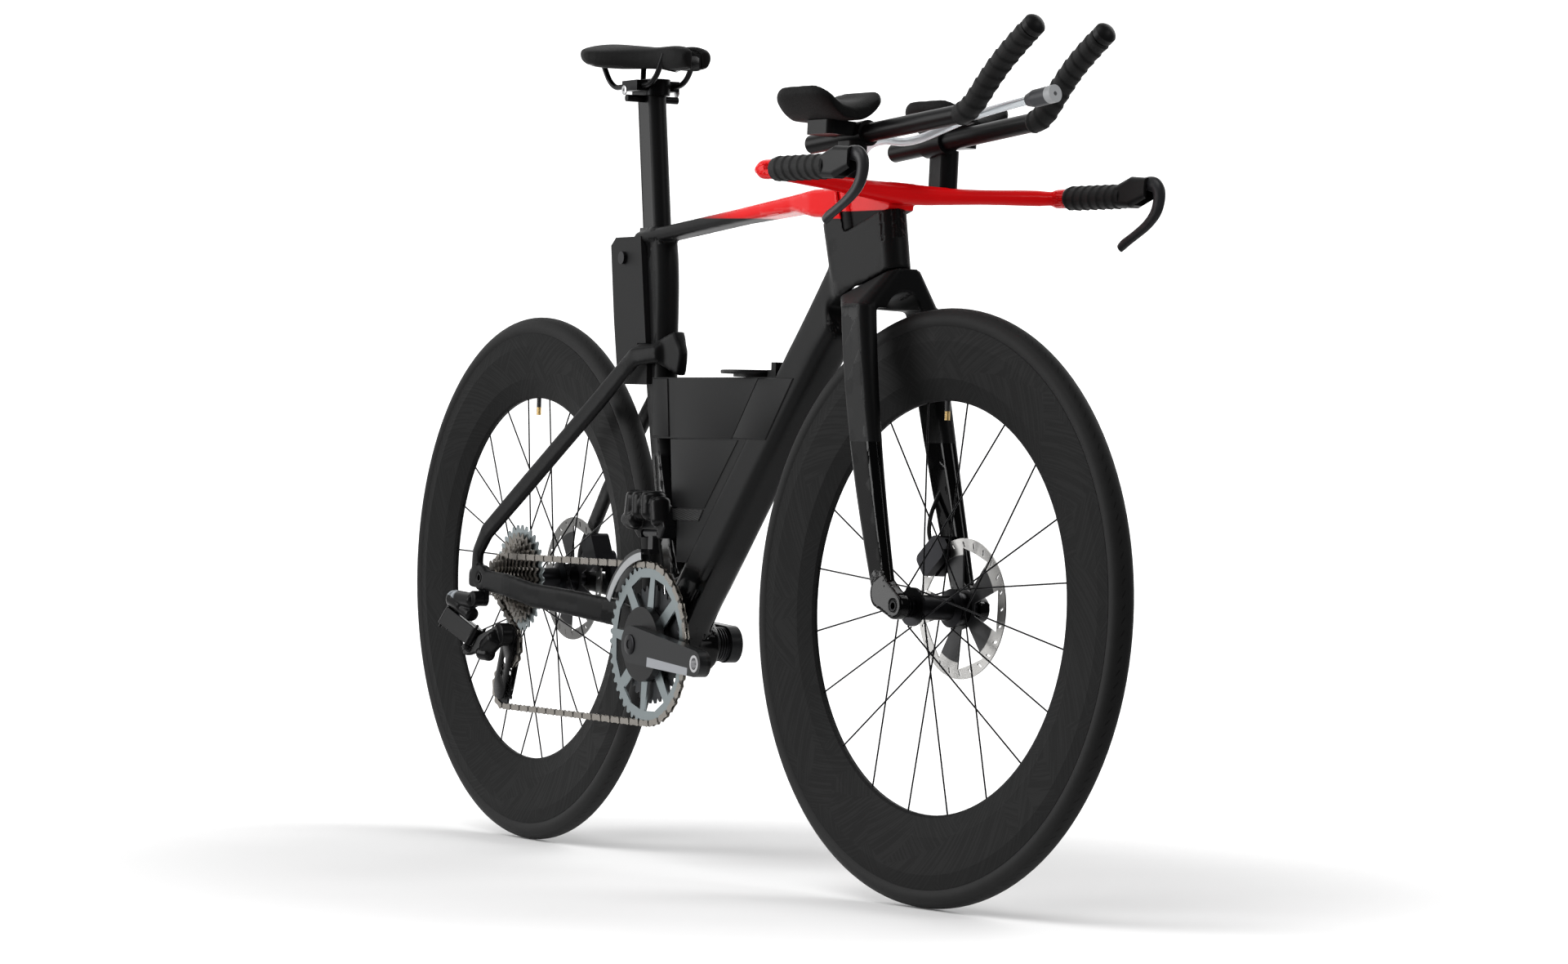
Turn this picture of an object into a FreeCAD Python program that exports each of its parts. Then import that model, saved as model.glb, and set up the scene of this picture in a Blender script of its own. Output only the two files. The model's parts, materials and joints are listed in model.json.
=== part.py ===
import FreeCAD, Part
import math
import os
import Sketcher

# A time trial bike: millimetres and degrees, +X ahead, +Y to the rider's left, +Z up.
# The origin is the middle of the rear axle.
# The bar, fork and front wheel stand turned by steer_rest, as parked.

SIZES = {
    # Layout of the whole bike
    "wheelbase": 1000,
    "bracket_reach": 405,
    "bracket_drop": 68,
    "head_angle": 72.5,
    "fork_rake": 45,
    "steer_rest": 6.26,
    # Fits
    "running_gap": 0.05,
    "part_gap": 0.6,
    "seat_gap": 0.2,
    # Wheels
    "tyre_radius": 339,
    "tyre_section": 14,
    "tyre_wall": 2.2,
    "rim_radius": 318,
    "rim_depth": 84,
    "rim_width": 27,
    "rim_nose_width": 8,
    "rim_wall": 2,
    "spoke_radius": 1,
    "spoke_lean": 62,
    "front_spoke_count": 20,
    "rear_spoke_count": 24,
    "valve_radius": 3,
    "valve_length": 22,
    "axle_radius": 6,
    "axle_bore_radius": 4,
    "front_dropout_gap": 100,
    "rear_dropout_gap": 142,
    "hub_radius": 12,
    "flange_radius": 22,
    "flange_thickness": 4,
    "front_flange_right": -36,
    "front_flange_left": 20,
    "rear_flange_right": -16,
    "rear_flange_left": 36,
    "rotor_radius": 80,
    "rotor_track": 15,
    "rotor_thickness": 1.8,
    "rotor_inset": 15.3,
    "rotor_boss_radius": 19,
    # Frame tubes
    "head_low": 394,
    "head_high": 463,
    "head_cheek_rise": 25,
    "head_nose_low": 80,
    "head_nose_high": 88,
    "head_tail": 57,
    "head_nose_round": 18,
    "head_tail_round": 26,
    "steerer_radius": 14.3,
    "headset_radius": 20,
    "headset_height": 8,
    "top_tube_back_reach": 118,
    "top_tube_front_reach": 76,
    "top_tube_edge": 8,
    "top_tube_back_height": 442,
    "top_tube_front_height": 480,
    "top_tube_width": 36,
    "top_tube_front_width": 52,
    "top_tube_thickness": 17,
    "top_tube_front_thickness": 33,
    "seat_tube_width": 33,
    "seat_tube_tail_round": 9,
    "seat_tube_top": 448,
    "down_tube_top_x": 802,
    "down_tube_top_z": 372,
    "down_tube_setback": 20,
    "down_tube_width": 48.6,
    "down_tube_corner": 13,
    "down_tube_depth": 60,
    "bracket_shell_radius": 33,
    "bracket_shell_width": 76,
    "bracket_bearing_radius": 20.5,
    "bracket_bearing_width": 10,
    "spindle_radius": 14.4,
    "spindle_bore_radius": 11,
    "chainstay_depth": 31,
    "chainstay_tail": 31,
    "seatstay_depth": 26,
    "stay_width": 11,
    "stay_tyre_gap": 9,
    "dropout_radius": 17,
    "stay_collar_height": 290,
    "stay_collar_peak": 28,
    # Storage
    "frame_box_width": 48,
    "frame_box_top": 260,
    "frame_box_front": 714,
    "frame_box_floor": 82,
    "box_wall": 2.5,
    "lid_radius": 34,
    "lid_height": 7,
    "lid_hinge_height": 18,
    "lid_place": 590,
    "fill_hole_radius": 24,
    "rear_box_width": 38,
    "rear_box_top": 436,
    "rear_box_floor": 252,
    "rear_box_back": 229,
    "latch_radius": 8,
    "latch_height": 4,
    # Seat
    "post_angle": 82.5,
    "post_chord": 54,
    "post_width": 25,
    "post_top": 612,
    "post_setback": 93,
    "post_inserted": 78,
    "post_travel_down": 30,
    "saddle_length": 232,
    "saddle_width": 128,
    "saddle_nose_width": 44,
    "saddle_tail": 180,
    "saddle_height": 668,
    "saddle_skirt": 28,
    "saddle_split_width": 10,
    "saddle_split_length": 120,
    "shell_thickness": 5,
    "rail_radius": 3.5,
    "rail_spacing": 44,
    "rail_height": 624,
    # Drive
    "chain_pitch": 12.7,
    "chain_width": 5.2,
    "chain_inner_width": 3,
    "chain_height": 8,
    "chain_line": 47.5,
    "ring_spacing": 6.5,
    "large_ring_teeth": 48,
    "small_ring_teeth": 35,
    "ring_thickness": 2.2,
    "ring_bore_radius": 30,
    "sprocket_pitch": 3.65,
    "sprocket_thickness": 1.6,
    "chain_sprocket": 4,
    "tooth_height": 3.6,
    "crank_length": 165,
    "crank_angle": 5.6,
    "crank_boss_radius": 23,
    "crank_end_radius": 16,
    "crank_inner": 58,
    "crank_thickness": 15,
    "spider_radius": 46,
    "pedal_thread_radius": 7.14,
    "pulley_teeth": 12,
    "pulley_thickness": 2.2,
    "pulley_bolt_radius": 2.5,
    "upper_pulley_x": 30,
    "upper_pulley_z": -86,
    "lower_pulley_x": 10,
    "lower_pulley_z": -141,
    "cage_plate": 2,
    "cage_spread": 5.5,
    "front_hinge_side": 32,
    "front_hinge_height": 136,
    "hanger_bolt_z": -27,
    "hanger_thickness": 6,
    "knuckle_radius": 10,
    "link_back_x": -66,
    "link_back_y": -96,
    "link_back_z": -52,
    "link_front_x": 0,
    "link_front_y": -90,
    "link_front_z": -76,
    "link_slant": -22,
    "link_swing_out": -11,
    "link_swing_in": 19,
    "link_spacing": 13,
    "link_height": 24,
    "link_pin_radius": 2,
    # Fork and front brake
    "fork_crown_gap": 1,
    "leg_top_chord": 56,
    "leg_low_chord": 38,
    "leg_top_width": 26,
    "leg_low_width": 14,
    "leg_top_height": 342,
    "leg_low_height": 8,
    "leg_top_side": 46,
    "leg_low_side": 57,
    "leg_top_front": 909,
    "leg_low_front": 993,
    "crown_swing_radius": 66,
    "crown_tyre_gap": 8,
    "crown_arch_width": 50,
    "crown_arch_depth": 24,
    "caliper_length": 46,
    "caliper_height": 30,
    "caliper_width": 26,
    "caliper_slot": 5,
    "hose_radius": 2.5,
    # Cockpit
    "bar_half_width": 210,
    "bar_height": 484,
    "bar_thickness": 19,
    "bar_front": 906,
    "bar_chord": 54,
    "stem_heel_radius": 22,
    "stem_neck_width": 36,
    "horn_height": 481,
    "horn_front": 1035,
    "horn_radius": 11.5,
    "tape_thickness": 2,
    "lever_body_length": 50,
    "lever_body_height": 36,
    "lever_body_width": 22,
    "lever_width": 11,
    "riser_side": 66,
    "riser_place": 882,
    "riser_length": 42,
    "riser_width": 25,
    "extension_height": 526,
    "extension_radius": 11,
    "extension_bore": 9,
    "extension_tape": 3,
    "extension_tape_start": 1068,
    "clamp_wall": 4,
    "clamp_length": 40,
    "button_travel": 1.5,
    "arm_rest_thickness": 16,
    "pad_side": 92,
    "pad_place": 868,
    "pad_length": 106,
    "pad_width": 90,
    "pad_thickness": 21,
    "pad_height": 548,
    "pad_lift": 24,
    "drink_hose_radius": 5,
    "bite_valve_radius": 10,
    "bite_valve_length": 42,
}

doc = FreeCAD.newDocument("time_trial_bike")
sheet = doc.addObject("Spreadsheet::Sheet", "sizes")
for row, (alias, value) in enumerate(SIZES.items(), start=1):
    sheet.set(f"A{row}", alias)
    sheet.set(f"B{row}", str(value))
    sheet.setAlias(f"B{row}", alias)
doc.recompute()

AHEAD = FreeCAD.Vector(1, 0, 0)
LEFT = FreeCAD.Vector(0, 1, 0)
UP = FreeCAD.Vector(0, 0, 1)
NODES = {}


# Reading sizes and placing points

def size(alias):
    return float(sheet.get(alias))


def value_of(expression):
    return float(sheet.evalExpression(expression))


def point(x, y, z):
    return FreeCAD.Vector(x, y, z)


def shifted(x, y, z):
    return FreeCAD.Placement(point(x, y, z), FreeCAD.Rotation())


def polar(centre, radius, degrees):
    """A point in the bike's side view, with angles from straight ahead, rising."""
    turn = math.radians(degrees)
    return centre + AHEAD * (radius * math.cos(turn)) + UP * (radius * math.sin(turn))


def mirrored(shape):
    return shape.mirror(point(0, 0, 0), LEFT)


def both_sides(shape):
    return Part.makeCompound([shape, mirrored(shape)])


def joined(shapes):
    return shapes[0].fuse(shapes[1:]).removeSplitter()


HEAD = math.radians(size("head_angle"))
STEER_UP = point(-math.cos(HEAD), 0, math.sin(HEAD))
STEER_AHEAD = point(math.sin(HEAD), 0, math.cos(HEAD))
FRONT_AXLE = point(size("wheelbase"), 0, 0)
STEER_BASE = FRONT_AXLE - STEER_AHEAD * size("fork_rake")
STEERED = FreeCAD.Placement(point(0, 0, 0), FreeCAD.Rotation(STEER_UP, size("steer_rest")), STEER_BASE)
FRONT_WHEEL = STEERED.multiply(FreeCAD.Placement(FRONT_AXLE, FreeCAD.Rotation()))
BRACKET = point(size("bracket_reach"), 0, -size("bracket_drop"))


def on_steerer(height, ahead=0.0, side=0.0):
    """A point given along, ahead of and beside the steering axis."""
    return STEER_BASE + STEER_UP * height + STEER_AHEAD * ahead + LEFT * side


# Keeping finished sub-parts

def keep(label, thing, placement=None):
    """Names a sub-part and places it. A bare shape becomes an object of the document first."""
    if isinstance(thing, Part.Shape):
        feature = doc.addObject("Part::Feature", label)
        feature.Shape = thing
        if placement is not None:
            placement = placement.multiply(thing.Placement)
        thing = feature
    thing.Label = label
    if placement is not None:
        thing.Placement = placement
    NODES[label] = thing
    return thing


def bound(kind, name, placement=None, **expressions):
    """A primitive whose sizes are bound to the sheet."""
    thing = doc.addObject(kind, name)
    for property_name, expression in expressions.items():
        thing.setExpression(property_name, expression)
    if placement is not None:
        thing.Placement = placement
    return thing


def cut(name, base, tool):
    thing = doc.addObject("Part::Cut", name)
    thing.Base = base
    thing.Tool = tool
    return thing


# Sketched bodies

def origin_plane(body, role):
    for feature in body.Origin.OriginFeatures:
        if feature.Role == role:
            return feature
    raise ValueError(role)


def outline(body, role, loops):
    """A sketch of closed outlines: corner lists, or (x, y, radius) circles, all as expressions."""
    sketch = body.newObject("Sketcher::SketchObject", body.Name + "_outline")
    sketch.AttachmentSupport = [(origin_plane(body, role), "")]
    sketch.MapMode = "FlatFace"
    for loop in loops:
        if isinstance(loop, tuple):
            add_circle(sketch, loop)
        else:
            add_polygon(sketch, loop)
    return sketch


def pin_to(sketch, geometry, vertex, x, y):
    """Ties one point of a sketch to two expressions."""
    for kind, expression in (("DistanceX", x), ("DistanceY", y)):
        number = value_of(expression)
        tie = sketch.addConstraint(Sketcher.Constraint(kind, -1, 1, geometry, vertex, number))
        sketch.setExpression(f"Constraints[{tie}]", expression)


def add_circle(sketch, loop):
    x, y, radius = loop
    centre = point(value_of(x), value_of(y), 0)
    ring = sketch.addGeometry(Part.Circle(centre, UP, value_of(radius)))
    tie = sketch.addConstraint(Sketcher.Constraint("Radius", ring, value_of(radius)))
    sketch.setExpression(f"Constraints[{tie}]", radius)
    pin_to(sketch, ring, 3, x, y)


def add_polygon(sketch, corners):
    places = [point(value_of(x), value_of(y), 0) for x, y in corners]
    count = len(corners)
    lines = []
    for index in range(count):
        side = Part.LineSegment(places[index], places[(index + 1) % count])
        lines.append(sketch.addGeometry(side))
    for index in range(count):
        following = lines[(index + 1) % count]
        sketch.addConstraint(Sketcher.Constraint("Coincident", lines[index], 2, following, 1))
    for line, (x, y) in zip(lines, corners):
        pin_to(sketch, line, 1, x, y)


def turned(name, loops):
    """A body turned about the bike's width axis from (radius, side) corners."""
    body = doc.addObject("PartDesign::Body", name)
    turn = body.newObject("PartDesign::Revolution", name + "_turn")
    turn.Profile = outline(body, "XY_Plane", loops)
    turn.ReferenceAxis = (turn.Profile[0], ["V_Axis"])
    return body


def padded(name, loops, thickness):
    """A plate of the side view, thick evenly to both sides of its own middle."""
    body = doc.addObject("PartDesign::Body", name)
    pad = body.newObject("PartDesign::Pad", name + "_pad")
    pad.Profile = outline(body, "XZ_Plane", loops)
    pad.Midplane = True
    pad.setExpression("Length", thickness)
    return body


def pocketed(body, loops, count):
    """Pockets through a plate, repeated round its middle."""
    doc.recompute()
    pocket = body.newObject("PartDesign::Pocket", body.Name + "_pocket")
    pocket.Profile = outline(body, "XZ_Plane", loops)
    pocket.Midplane = True
    pocket.Type = "ThroughAll"
    ring = body.newObject("PartDesign::PolarPattern", body.Name + "_pattern")
    ring.Originals = [pocket]
    ring.Axis = (pocket.Profile[0], ["N_Axis"])
    ring.Angle = 360
    ring.setExpression("Occurrences", count)
    body.Tip = ring
    return body


# Sections, lofts and bars

def teardrop(nose, tail, nose_round, tail_round, sideways):
    """A closed section with two round ends and straight sides."""
    along = (nose - tail).normalize()
    nose_centre = nose - along * nose_round
    tail_centre = tail + along * tail_round
    lean = math.asin((nose_round - tail_round) / (nose_centre - tail_centre).Length)
    lift = along * math.sin(lean)
    spread = sideways * math.cos(lean)
    nose_left = nose_centre + (lift + spread) * nose_round
    nose_right = nose_centre + (lift - spread) * nose_round
    tail_left = tail_centre + (lift + spread) * tail_round
    tail_right = tail_centre + (lift - spread) * tail_round
    edges = (
        Part.LineSegment(nose_left, tail_left),
        Part.Arc(tail_left, tail, tail_right),
        Part.LineSegment(tail_right, nose_right),
        Part.Arc(nose_right, nose, nose_left),
    )
    return Part.Wire([edge.toShape() for edge in edges])


def loft(sections, ruled=False):
    return Part.makeLoft(sections, True, ruled)


def prism(wire, path):
    """A plate that stands half its path to each side of a flat outline."""
    plate = Part.Face(wire)
    plate.translate(path * -0.5)
    return plate.extrude(path)


def polygon(points):
    return Part.makePolygon(points + points[:1])


def side_plate(corners, side, thickness):
    """A plate from (x, z) corners, centred on one side position."""
    return prism(polygon([point(x, side, z) for x, z in corners]), LEFT * thickness)


def bar(start, end, start_round, end_round, path):
    """A round-ended plate from one pivot to another, standing along path."""
    along = (end - start).normalize()
    sideways = path.cross(along).normalize()
    return prism(teardrop(end + along * end_round, start - along * start_round,
                          end_round, start_round, sideways), path)


def strap(places, rounds, thickness):
    """Round-ended plates joined end to end through a row of places."""
    path = LEFT * thickness
    spans = zip(places, places[1:], rounds, rounds[1:])
    return joined([bar(a, b, a_round, b_round, path) for a, b, a_round, b_round in spans])


def rod(start, end, radius):
    return Part.makeCylinder(radius, (end - start).Length, start, end - start)


def tube(start, end, radius, bore):
    return rod(start, end, radius).cut(rod(start, end, bore))


def bent_path(places, share=0.45):
    """Straight runs joined by tangent arcs as large as the runs allow. Returns the path and radii."""
    edges = []
    radii = []
    last = places[0]
    for before, corner, after in zip(places, places[1:], places[2:]):
        inward = (before - corner).normalize()
        outward = (after - corner).normalize()
        trim = share * min((before - corner).Length, (after - corner).Length)
        half_turn = (math.pi - inward.getAngle(outward)) / 2
        radius = trim / math.tan(half_turn)
        radii.append(radius)
        start = corner + inward * trim
        end = corner + outward * trim
        middle = corner + (inward + outward).normalize() * (radius / math.cos(half_turn) - radius)
        edges.append(Part.LineSegment(last, start).toShape())
        edges.append(Part.Arc(start, middle, end).toShape())
        last = end
    edges.append(Part.LineSegment(last, places[-1]).toShape())
    return Part.Wire(edges), radii


def pipe(places, radius):
    path = bent_path(places)[0]
    ring = Part.Wire(Part.makeCircle(radius, places[0], places[1] - places[0]))
    return path.makePipeShell([ring], True, False)


def toothed(teeth, thickness, bore, side, centre):
    """A toothed wheel across the bike: flat-topped teeth about the chain's pitch circle."""
    root = pitch_radius(teeth) - size("tooth_height")
    tip = pitch_radius(teeth) + size("tooth_height") * 0.6
    step = 360 / teeth
    corners = []
    for tooth in range(teeth):
        middle = tooth * step
        corners.append(polar(centre, root, middle - step * 0.36))
        corners.append(polar(centre, tip, middle - step * 0.12))
        corners.append(polar(centre, tip, middle + step * 0.12))
        corners.append(polar(centre, root, middle + step * 0.36))
    wheel = prism(polygon(corners), LEFT * thickness)
    hole = Part.makeCylinder(bore, thickness * 2, centre - LEFT * thickness, LEFT)
    wheel = wheel.cut(hole)
    wheel.translate(LEFT * side)
    return wheel


def pitch_radius(teeth):
    return size("chain_pitch") / 2 / math.sin(math.pi / teeth)


# Wheels

def make_tyre(label, placement):
    outer = bound("Part::Torus", label + "_outside", Radius1="sizes.tyre_radius - sizes.tyre_section",
                  Radius2="sizes.tyre_section")
    inner = bound("Part::Torus", label + "_inside", Radius1="sizes.tyre_radius - sizes.tyre_section",
                  Radius2="sizes.tyre_section - sizes.tyre_wall")
    seat = bound("Part::Cylinder", label + "_seat", Radius="sizes.rim_radius",
                 Height="4 * sizes.tyre_section")
    seat.setExpression("Placement.Base.z", "-2 * sizes.tyre_section")
    hollow = cut(label + "_hollow", outer, inner)
    upright = FreeCAD.Placement(point(0, 0, 0), FreeCAD.Rotation(UP, LEFT))
    keep(label, cut(label, hollow, seat), placement.multiply(upright))


def make_rim(label, placement):
    half = "sizes.rim_width / 2"
    nose = "sizes.rim_nose_width / 2"
    inside = "sizes.rim_radius - sizes.rim_depth"
    wide = "sizes.rim_radius - 0.2 * sizes.rim_depth"
    waist = "sizes.rim_radius - 0.7 * sizes.rim_depth"
    outer = [
        ("sizes.rim_radius", f"-{half} + 1"),
        (wide, f"-{half}"),
        (waist, f"-{half} * 0.72"),
        (f"{inside} + 3", f"-{nose}"),
        (inside, f"-{nose} / 2"),
        (inside, f"{nose} / 2"),
        (f"{inside} + 3", nose),
        (waist, f"{half} * 0.72"),
        (wide, half),
        ("sizes.rim_radius", f"{half} - 1"),
    ]
    wall = "sizes.rim_wall"
    hollow = [
        (f"sizes.rim_radius - 2 * {wall}", f"-{half} + {wall} + 1"),
        (wide, f"-{half} + {wall}"),
        (waist, f"-{half} * 0.72 + {wall}"),
        (f"{inside} + 3 * {wall}", f"-{nose} / 2"),
        (f"{inside} + 3 * {wall}", f"{nose} / 2"),
        (waist, f"{half} * 0.72 - {wall}"),
        (wide, f"{half} - {wall}"),
        (f"sizes.rim_radius - 2 * {wall}", f"{half} - {wall} - 1"),
    ]
    keep(label, turned(label, [outer, hollow]), placement)


def make_hub(label, right_flange, left_flange, ends, drive_end, placement):
    """A turned hub shell on its axle, with a boss for the rotor at the left."""
    bore = "sizes.axle_radius + sizes.running_gap"
    half_flange = "sizes.flange_thickness / 2"
    rotor_face = f"{ends} - sizes.rotor_inset - sizes.rotor_thickness / 2"
    corners = [
        (bore, f"-{ends} + sizes.seat_gap"),
        ("sizes.hub_radius - 2", f"-{ends} + sizes.seat_gap"),
        ("sizes.hub_radius - 2", drive_end),
        ("sizes.hub_radius", drive_end),
        ("sizes.hub_radius", f"{right_flange} - {half_flange}"),
        ("sizes.flange_radius", f"{right_flange} - {half_flange}"),
        ("sizes.flange_radius", f"{right_flange} + {half_flange}"),
        ("sizes.hub_radius + 2", f"{right_flange} + {half_flange} + 4"),
        ("sizes.hub_radius + 2", f"{left_flange} - {half_flange} - 4"),
        ("sizes.flange_radius", f"{left_flange} - {half_flange}"),
        ("sizes.flange_radius", f"{left_flange} + {half_flange}"),
        ("sizes.rotor_boss_radius", f"{left_flange} + {half_flange}"),
        ("sizes.rotor_boss_radius", rotor_face),
        ("sizes.hub_radius", rotor_face),
        ("sizes.hub_radius", f"{ends} - 6"),
        ("sizes.hub_radius - 2", f"{ends} - 6"),
        ("sizes.hub_radius - 2", f"{ends} - sizes.seat_gap"),
        (bore, f"{ends} - sizes.seat_gap"),
    ]
    keep(label, turned(label, [corners]), placement)


def make_spokes(label, count, right_flange, left_flange, placement):
    """Straight spokes from both flanges to the rim's nose, leaning by turns both ways."""
    flange = size("flange_radius") + size("spoke_radius")
    rim = size("rim_radius") - size("rim_depth") - size("seat_gap")
    centre = point(0, 0, 0)
    spokes = []
    for index in range(count):
        angle = 90 + 360 / count * (index + 0.5)
        side = left_flange if index % 2 else right_flange
        lean = size("spoke_lean") * (1 if index // 2 % 2 else -1)
        start = polar(centre, flange, angle + lean) + LEFT * side
        end = polar(centre, rim, angle)
        spokes.append(rod(start, end, size("spoke_radius")))
    keep(label, Part.makeCompound(spokes), placement)


def make_rotor(label, side, placement):
    """A vented brake disc on a carrier with five arms."""
    track = "sizes.rotor_radius - sizes.rotor_track"
    disc = padded(label, [("0", "0", "sizes.rotor_radius"), ("0", "0", "sizes.hub_radius")],
                  "sizes.rotor_thickness")
    window = [
        ("sizes.rotor_boss_radius + 4", "-7"),
        (track, "-sizes.rotor_radius * 0.3"),
        (f"{track} + 1", "0"),
        (track, "sizes.rotor_radius * 0.3"),
        ("sizes.rotor_boss_radius + 4", "7"),
    ]
    pocketed(disc, [window], "5")
    slot = [
        (f"{track} + 5", "-1.5"),
        ("sizes.rotor_radius - 4", "2"),
        ("sizes.rotor_radius - 4", "5"),
        (f"{track} + 5", "1.5"),
    ]
    pocketed(disc, [slot], "24")
    keep(label, disc, placement.multiply(shifted(0, side, 0)))


def make_valve(label, placement):
    """A valve stem at the top of the rim's inner edge."""
    stem = bound("Part::Cylinder", label, Radius="sizes.valve_radius", Height="sizes.valve_length")
    inside = size("rim_radius") - size("rim_depth") - size("valve_length")
    keep(label, stem, placement.multiply(shifted(0, 0, inside)))


def make_wheels():
    rear = FreeCAD.Placement()
    for name, placement in (("front", FRONT_WHEEL), ("rear", rear)):
        flanges = [f"sizes.{name}_flange_{side}" for side in ("right", "left")]
        ends = f"sizes.{name}_dropout_gap / 2"
        drive_end = "sizes.rear_flange_right - 4" if name == "rear" else f"-{ends} + 6"
        rotor_side = value_of(ends) - size("rotor_inset")
        make_tyre(name + "_tyre", placement)
        make_rim(name + "_rim", placement)
        make_hub(name + "_hub", *flanges, ends, drive_end, placement)
        count = int(size(name + "_spoke_count"))
        make_spokes(name + "_spokes", count, value_of(flanges[0]), value_of(flanges[1]), placement)
        make_rotor(name + "_rotor", rotor_side, placement)
        make_valve(name + "_valve", placement)


# Frame

SEAT_TOP = point(size("bracket_reach") - size("post_setback"), 0, size("seat_tube_top"))
POST_LEAN = math.radians(size("post_angle"))
POST_UP = point(-math.cos(POST_LEAN), 0, math.sin(POST_LEAN))


def post_section(height, grow):
    """The seatpost's section at a distance along the post from the seat tube's top."""
    middle = SEAT_TOP + POST_UP * height
    half_chord = size("post_chord") / 2 + grow
    nose_round = size("post_width") / 2 + grow
    tail_round = size("post_width") / 4 + grow
    return teardrop(middle + AHEAD * half_chord, middle - AHEAD * half_chord, nose_round, tail_round, LEFT)


def head_tube():
    """Teardrop sections up the steering axis, with cheeks that rise beside the stem to the top tube."""
    high = size("head_high")
    sections = []
    for height, nose in ((size("head_low"), size("head_nose_low")),
                         (high, size("head_nose_high")),
                         (high + size("head_cheek_rise"), size("head_nose_high"))):
        sections.append(teardrop(on_steerer(height, nose), on_steerer(height, -size("head_tail")),
                                 size("head_nose_round"), size("head_tail_round"), LEFT))
    return loft(sections, True)


def top_tube():
    """Flat stadium sections from behind the seat tube to the head tube, deepening at the front."""
    back = size("bracket_reach") - size("top_tube_back_reach")
    front = on_steerer(size("head_high")).x - size("top_tube_front_reach")
    rise = (size("top_tube_front_height") - size("top_tube_back_height")) / (front - back)
    thin = size("top_tube_thickness")
    deep = size("top_tube_front_thickness")
    narrow = size("top_tube_width") / 2
    wide = size("top_tube_front_width") / 2
    stations = (
        (back, thin, narrow),
        (back + 0.55 * (front - back), thin, narrow),
        (back + 0.88 * (front - back), thin * 1.2, 0.5 * (narrow + wide)),
        (front, deep, wide),
        (front + size("top_tube_front_reach"), deep * 1.15, wide),
    )
    sections = []
    for x, thickness, half_width in stations:
        top = size("top_tube_back_height") + rise * (min(x, front) - back)
        round_edge = min(thickness, size("top_tube_edge") * 2) / 2 - 0.5
        sections.append(rounded_box_section(x, half_width, top - thickness, top, round_edge))
    return loft(sections, True)


def rounded_box_section(x, half_width, low, high, edge):
    """A closed section across the bike: flat sides, rounded corners."""
    corners = ((half_width, high), (-half_width, high), (-half_width, low), (half_width, low))
    steps = ((-1, 0), (0, -1), (1, 0), (0, 1))
    edges = []
    slant = edge * (1 - math.sqrt(0.5))
    for index, (y, z) in enumerate(corners):
        enter = steps[index - 1]
        leave = steps[index]
        start = point(x, y - enter[0] * edge, z - enter[1] * edge)
        end = point(x, y + leave[0] * edge, z + leave[1] * edge)
        middle = point(x, y + (leave[0] - enter[0]) * slant, z + (leave[1] - enter[1]) * slant)
        edges.append(Part.Arc(start, middle, end).toShape())
    wires = []
    for index, arc in enumerate(edges):
        following = edges[(index + 1) % len(edges)]
        wires.append(arc)
        wires.append(Part.LineSegment(arc.lastVertex().Point, following.firstVertex().Point).toShape())
    return Part.Wire(wires)


def seat_tube():
    """Sections level with the ground, given from the bottom bracket."""
    half_width = size("seat_tube_width") / 2
    tail = size("seat_tube_tail_round")
    top = size("seat_tube_top") + size("bracket_drop")
    stations = ((0, -27, 35), (0.25, -57, 4), (0.47, -84, -34), (0.75, -109, -46), (1, -126, -59))
    sections = []
    for share, back, front in stations:
        place = BRACKET + UP * (top * share)
        sections.append(teardrop(place + AHEAD * front, place + AHEAD * back, half_width, tail, LEFT))
    return loft(sections)


def down_tube():
    """Sections square to the tube, from inside the head tube to the bottom bracket."""
    depth = size("down_tube_depth")
    upper_end = point(size("down_tube_top_x"), 0, size("down_tube_top_z"))
    lower_end = BRACKET - point(size("down_tube_setback"), 0, 0)
    run = upper_end - lower_end
    slope = run.cross(LEFT).normalize()
    sections = []
    for share, spread, fullness in ((0, 1.15, 1), (0.15, 1, 1), (0.5, 0.96, 1), (0.85, 1, 1),
                                    (1, 1.2, 0.84)):
        middle = lower_end + run * share
        half = slope * (depth * spread / 2)
        side = LEFT * (size("down_tube_width") * fullness / 2)
        corners = [middle + half + side, middle + half - side, middle - half - side, middle - half + side]
        sections.append(Part.Wire(rounded_corners(corners, size("down_tube_corner"))))
    return loft(sections, True)


def bracket_shell():
    half = size("bracket_shell_width") / 2
    return rod(BRACKET - LEFT * half, BRACKET + LEFT * half, size("bracket_shell_radius"))


def front_triangle():
    """The one-piece front of the frame, with its bores, post socket and room for the bar's stem."""
    half = size("bracket_shell_width") / 2
    shell = joined([head_tube(), down_tube(), seat_tube(), top_tube(), bracket_shell()])
    below_head = size("head_low") - 200
    below = Part.makeCylinder(size("crown_swing_radius"), 200, on_steerer(below_head), STEER_UP)
    low = size("head_high")
    recess_radius = size("stem_heel_radius") + size("part_gap")
    recess = Part.makeCylinder(recess_radius, 300, on_steerer(low), STEER_UP)
    swing_reach = ((0, -1), (0, 200), (200, 200), (200, -1))
    swing_corners = [on_steerer(low + rise, ahead) for rise, ahead in swing_reach]
    swing = prism(polygon(swing_corners), LEFT * 200)
    bore = Part.makeCylinder(size("headset_radius"), 300, on_steerer(below_head), STEER_UP)
    bracket_bore = rod(BRACKET - LEFT * (half + 1), BRACKET + LEFT * (half + 1),
                       size("bracket_bearing_radius"))
    socket_depth = size("post_inserted") + size("post_travel_down") + size("part_gap")
    socket = loft([post_section(-socket_depth, size("part_gap") / 2),
                   post_section(80, size("part_gap") / 2)], True)
    return biggest(shell.cut([below, recess, swing, bore, bracket_bore, socket]))


def make_frame():
    main = keep("front_triangle", front_triangle())
    tail = keep("rear_triangle", rear_triangle(main.Shape))
    keep("derailleur_hanger", biggest(derailleur_hanger().cut(tail.Shape)))
    make_rear_axle()
    make_bearings()


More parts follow.
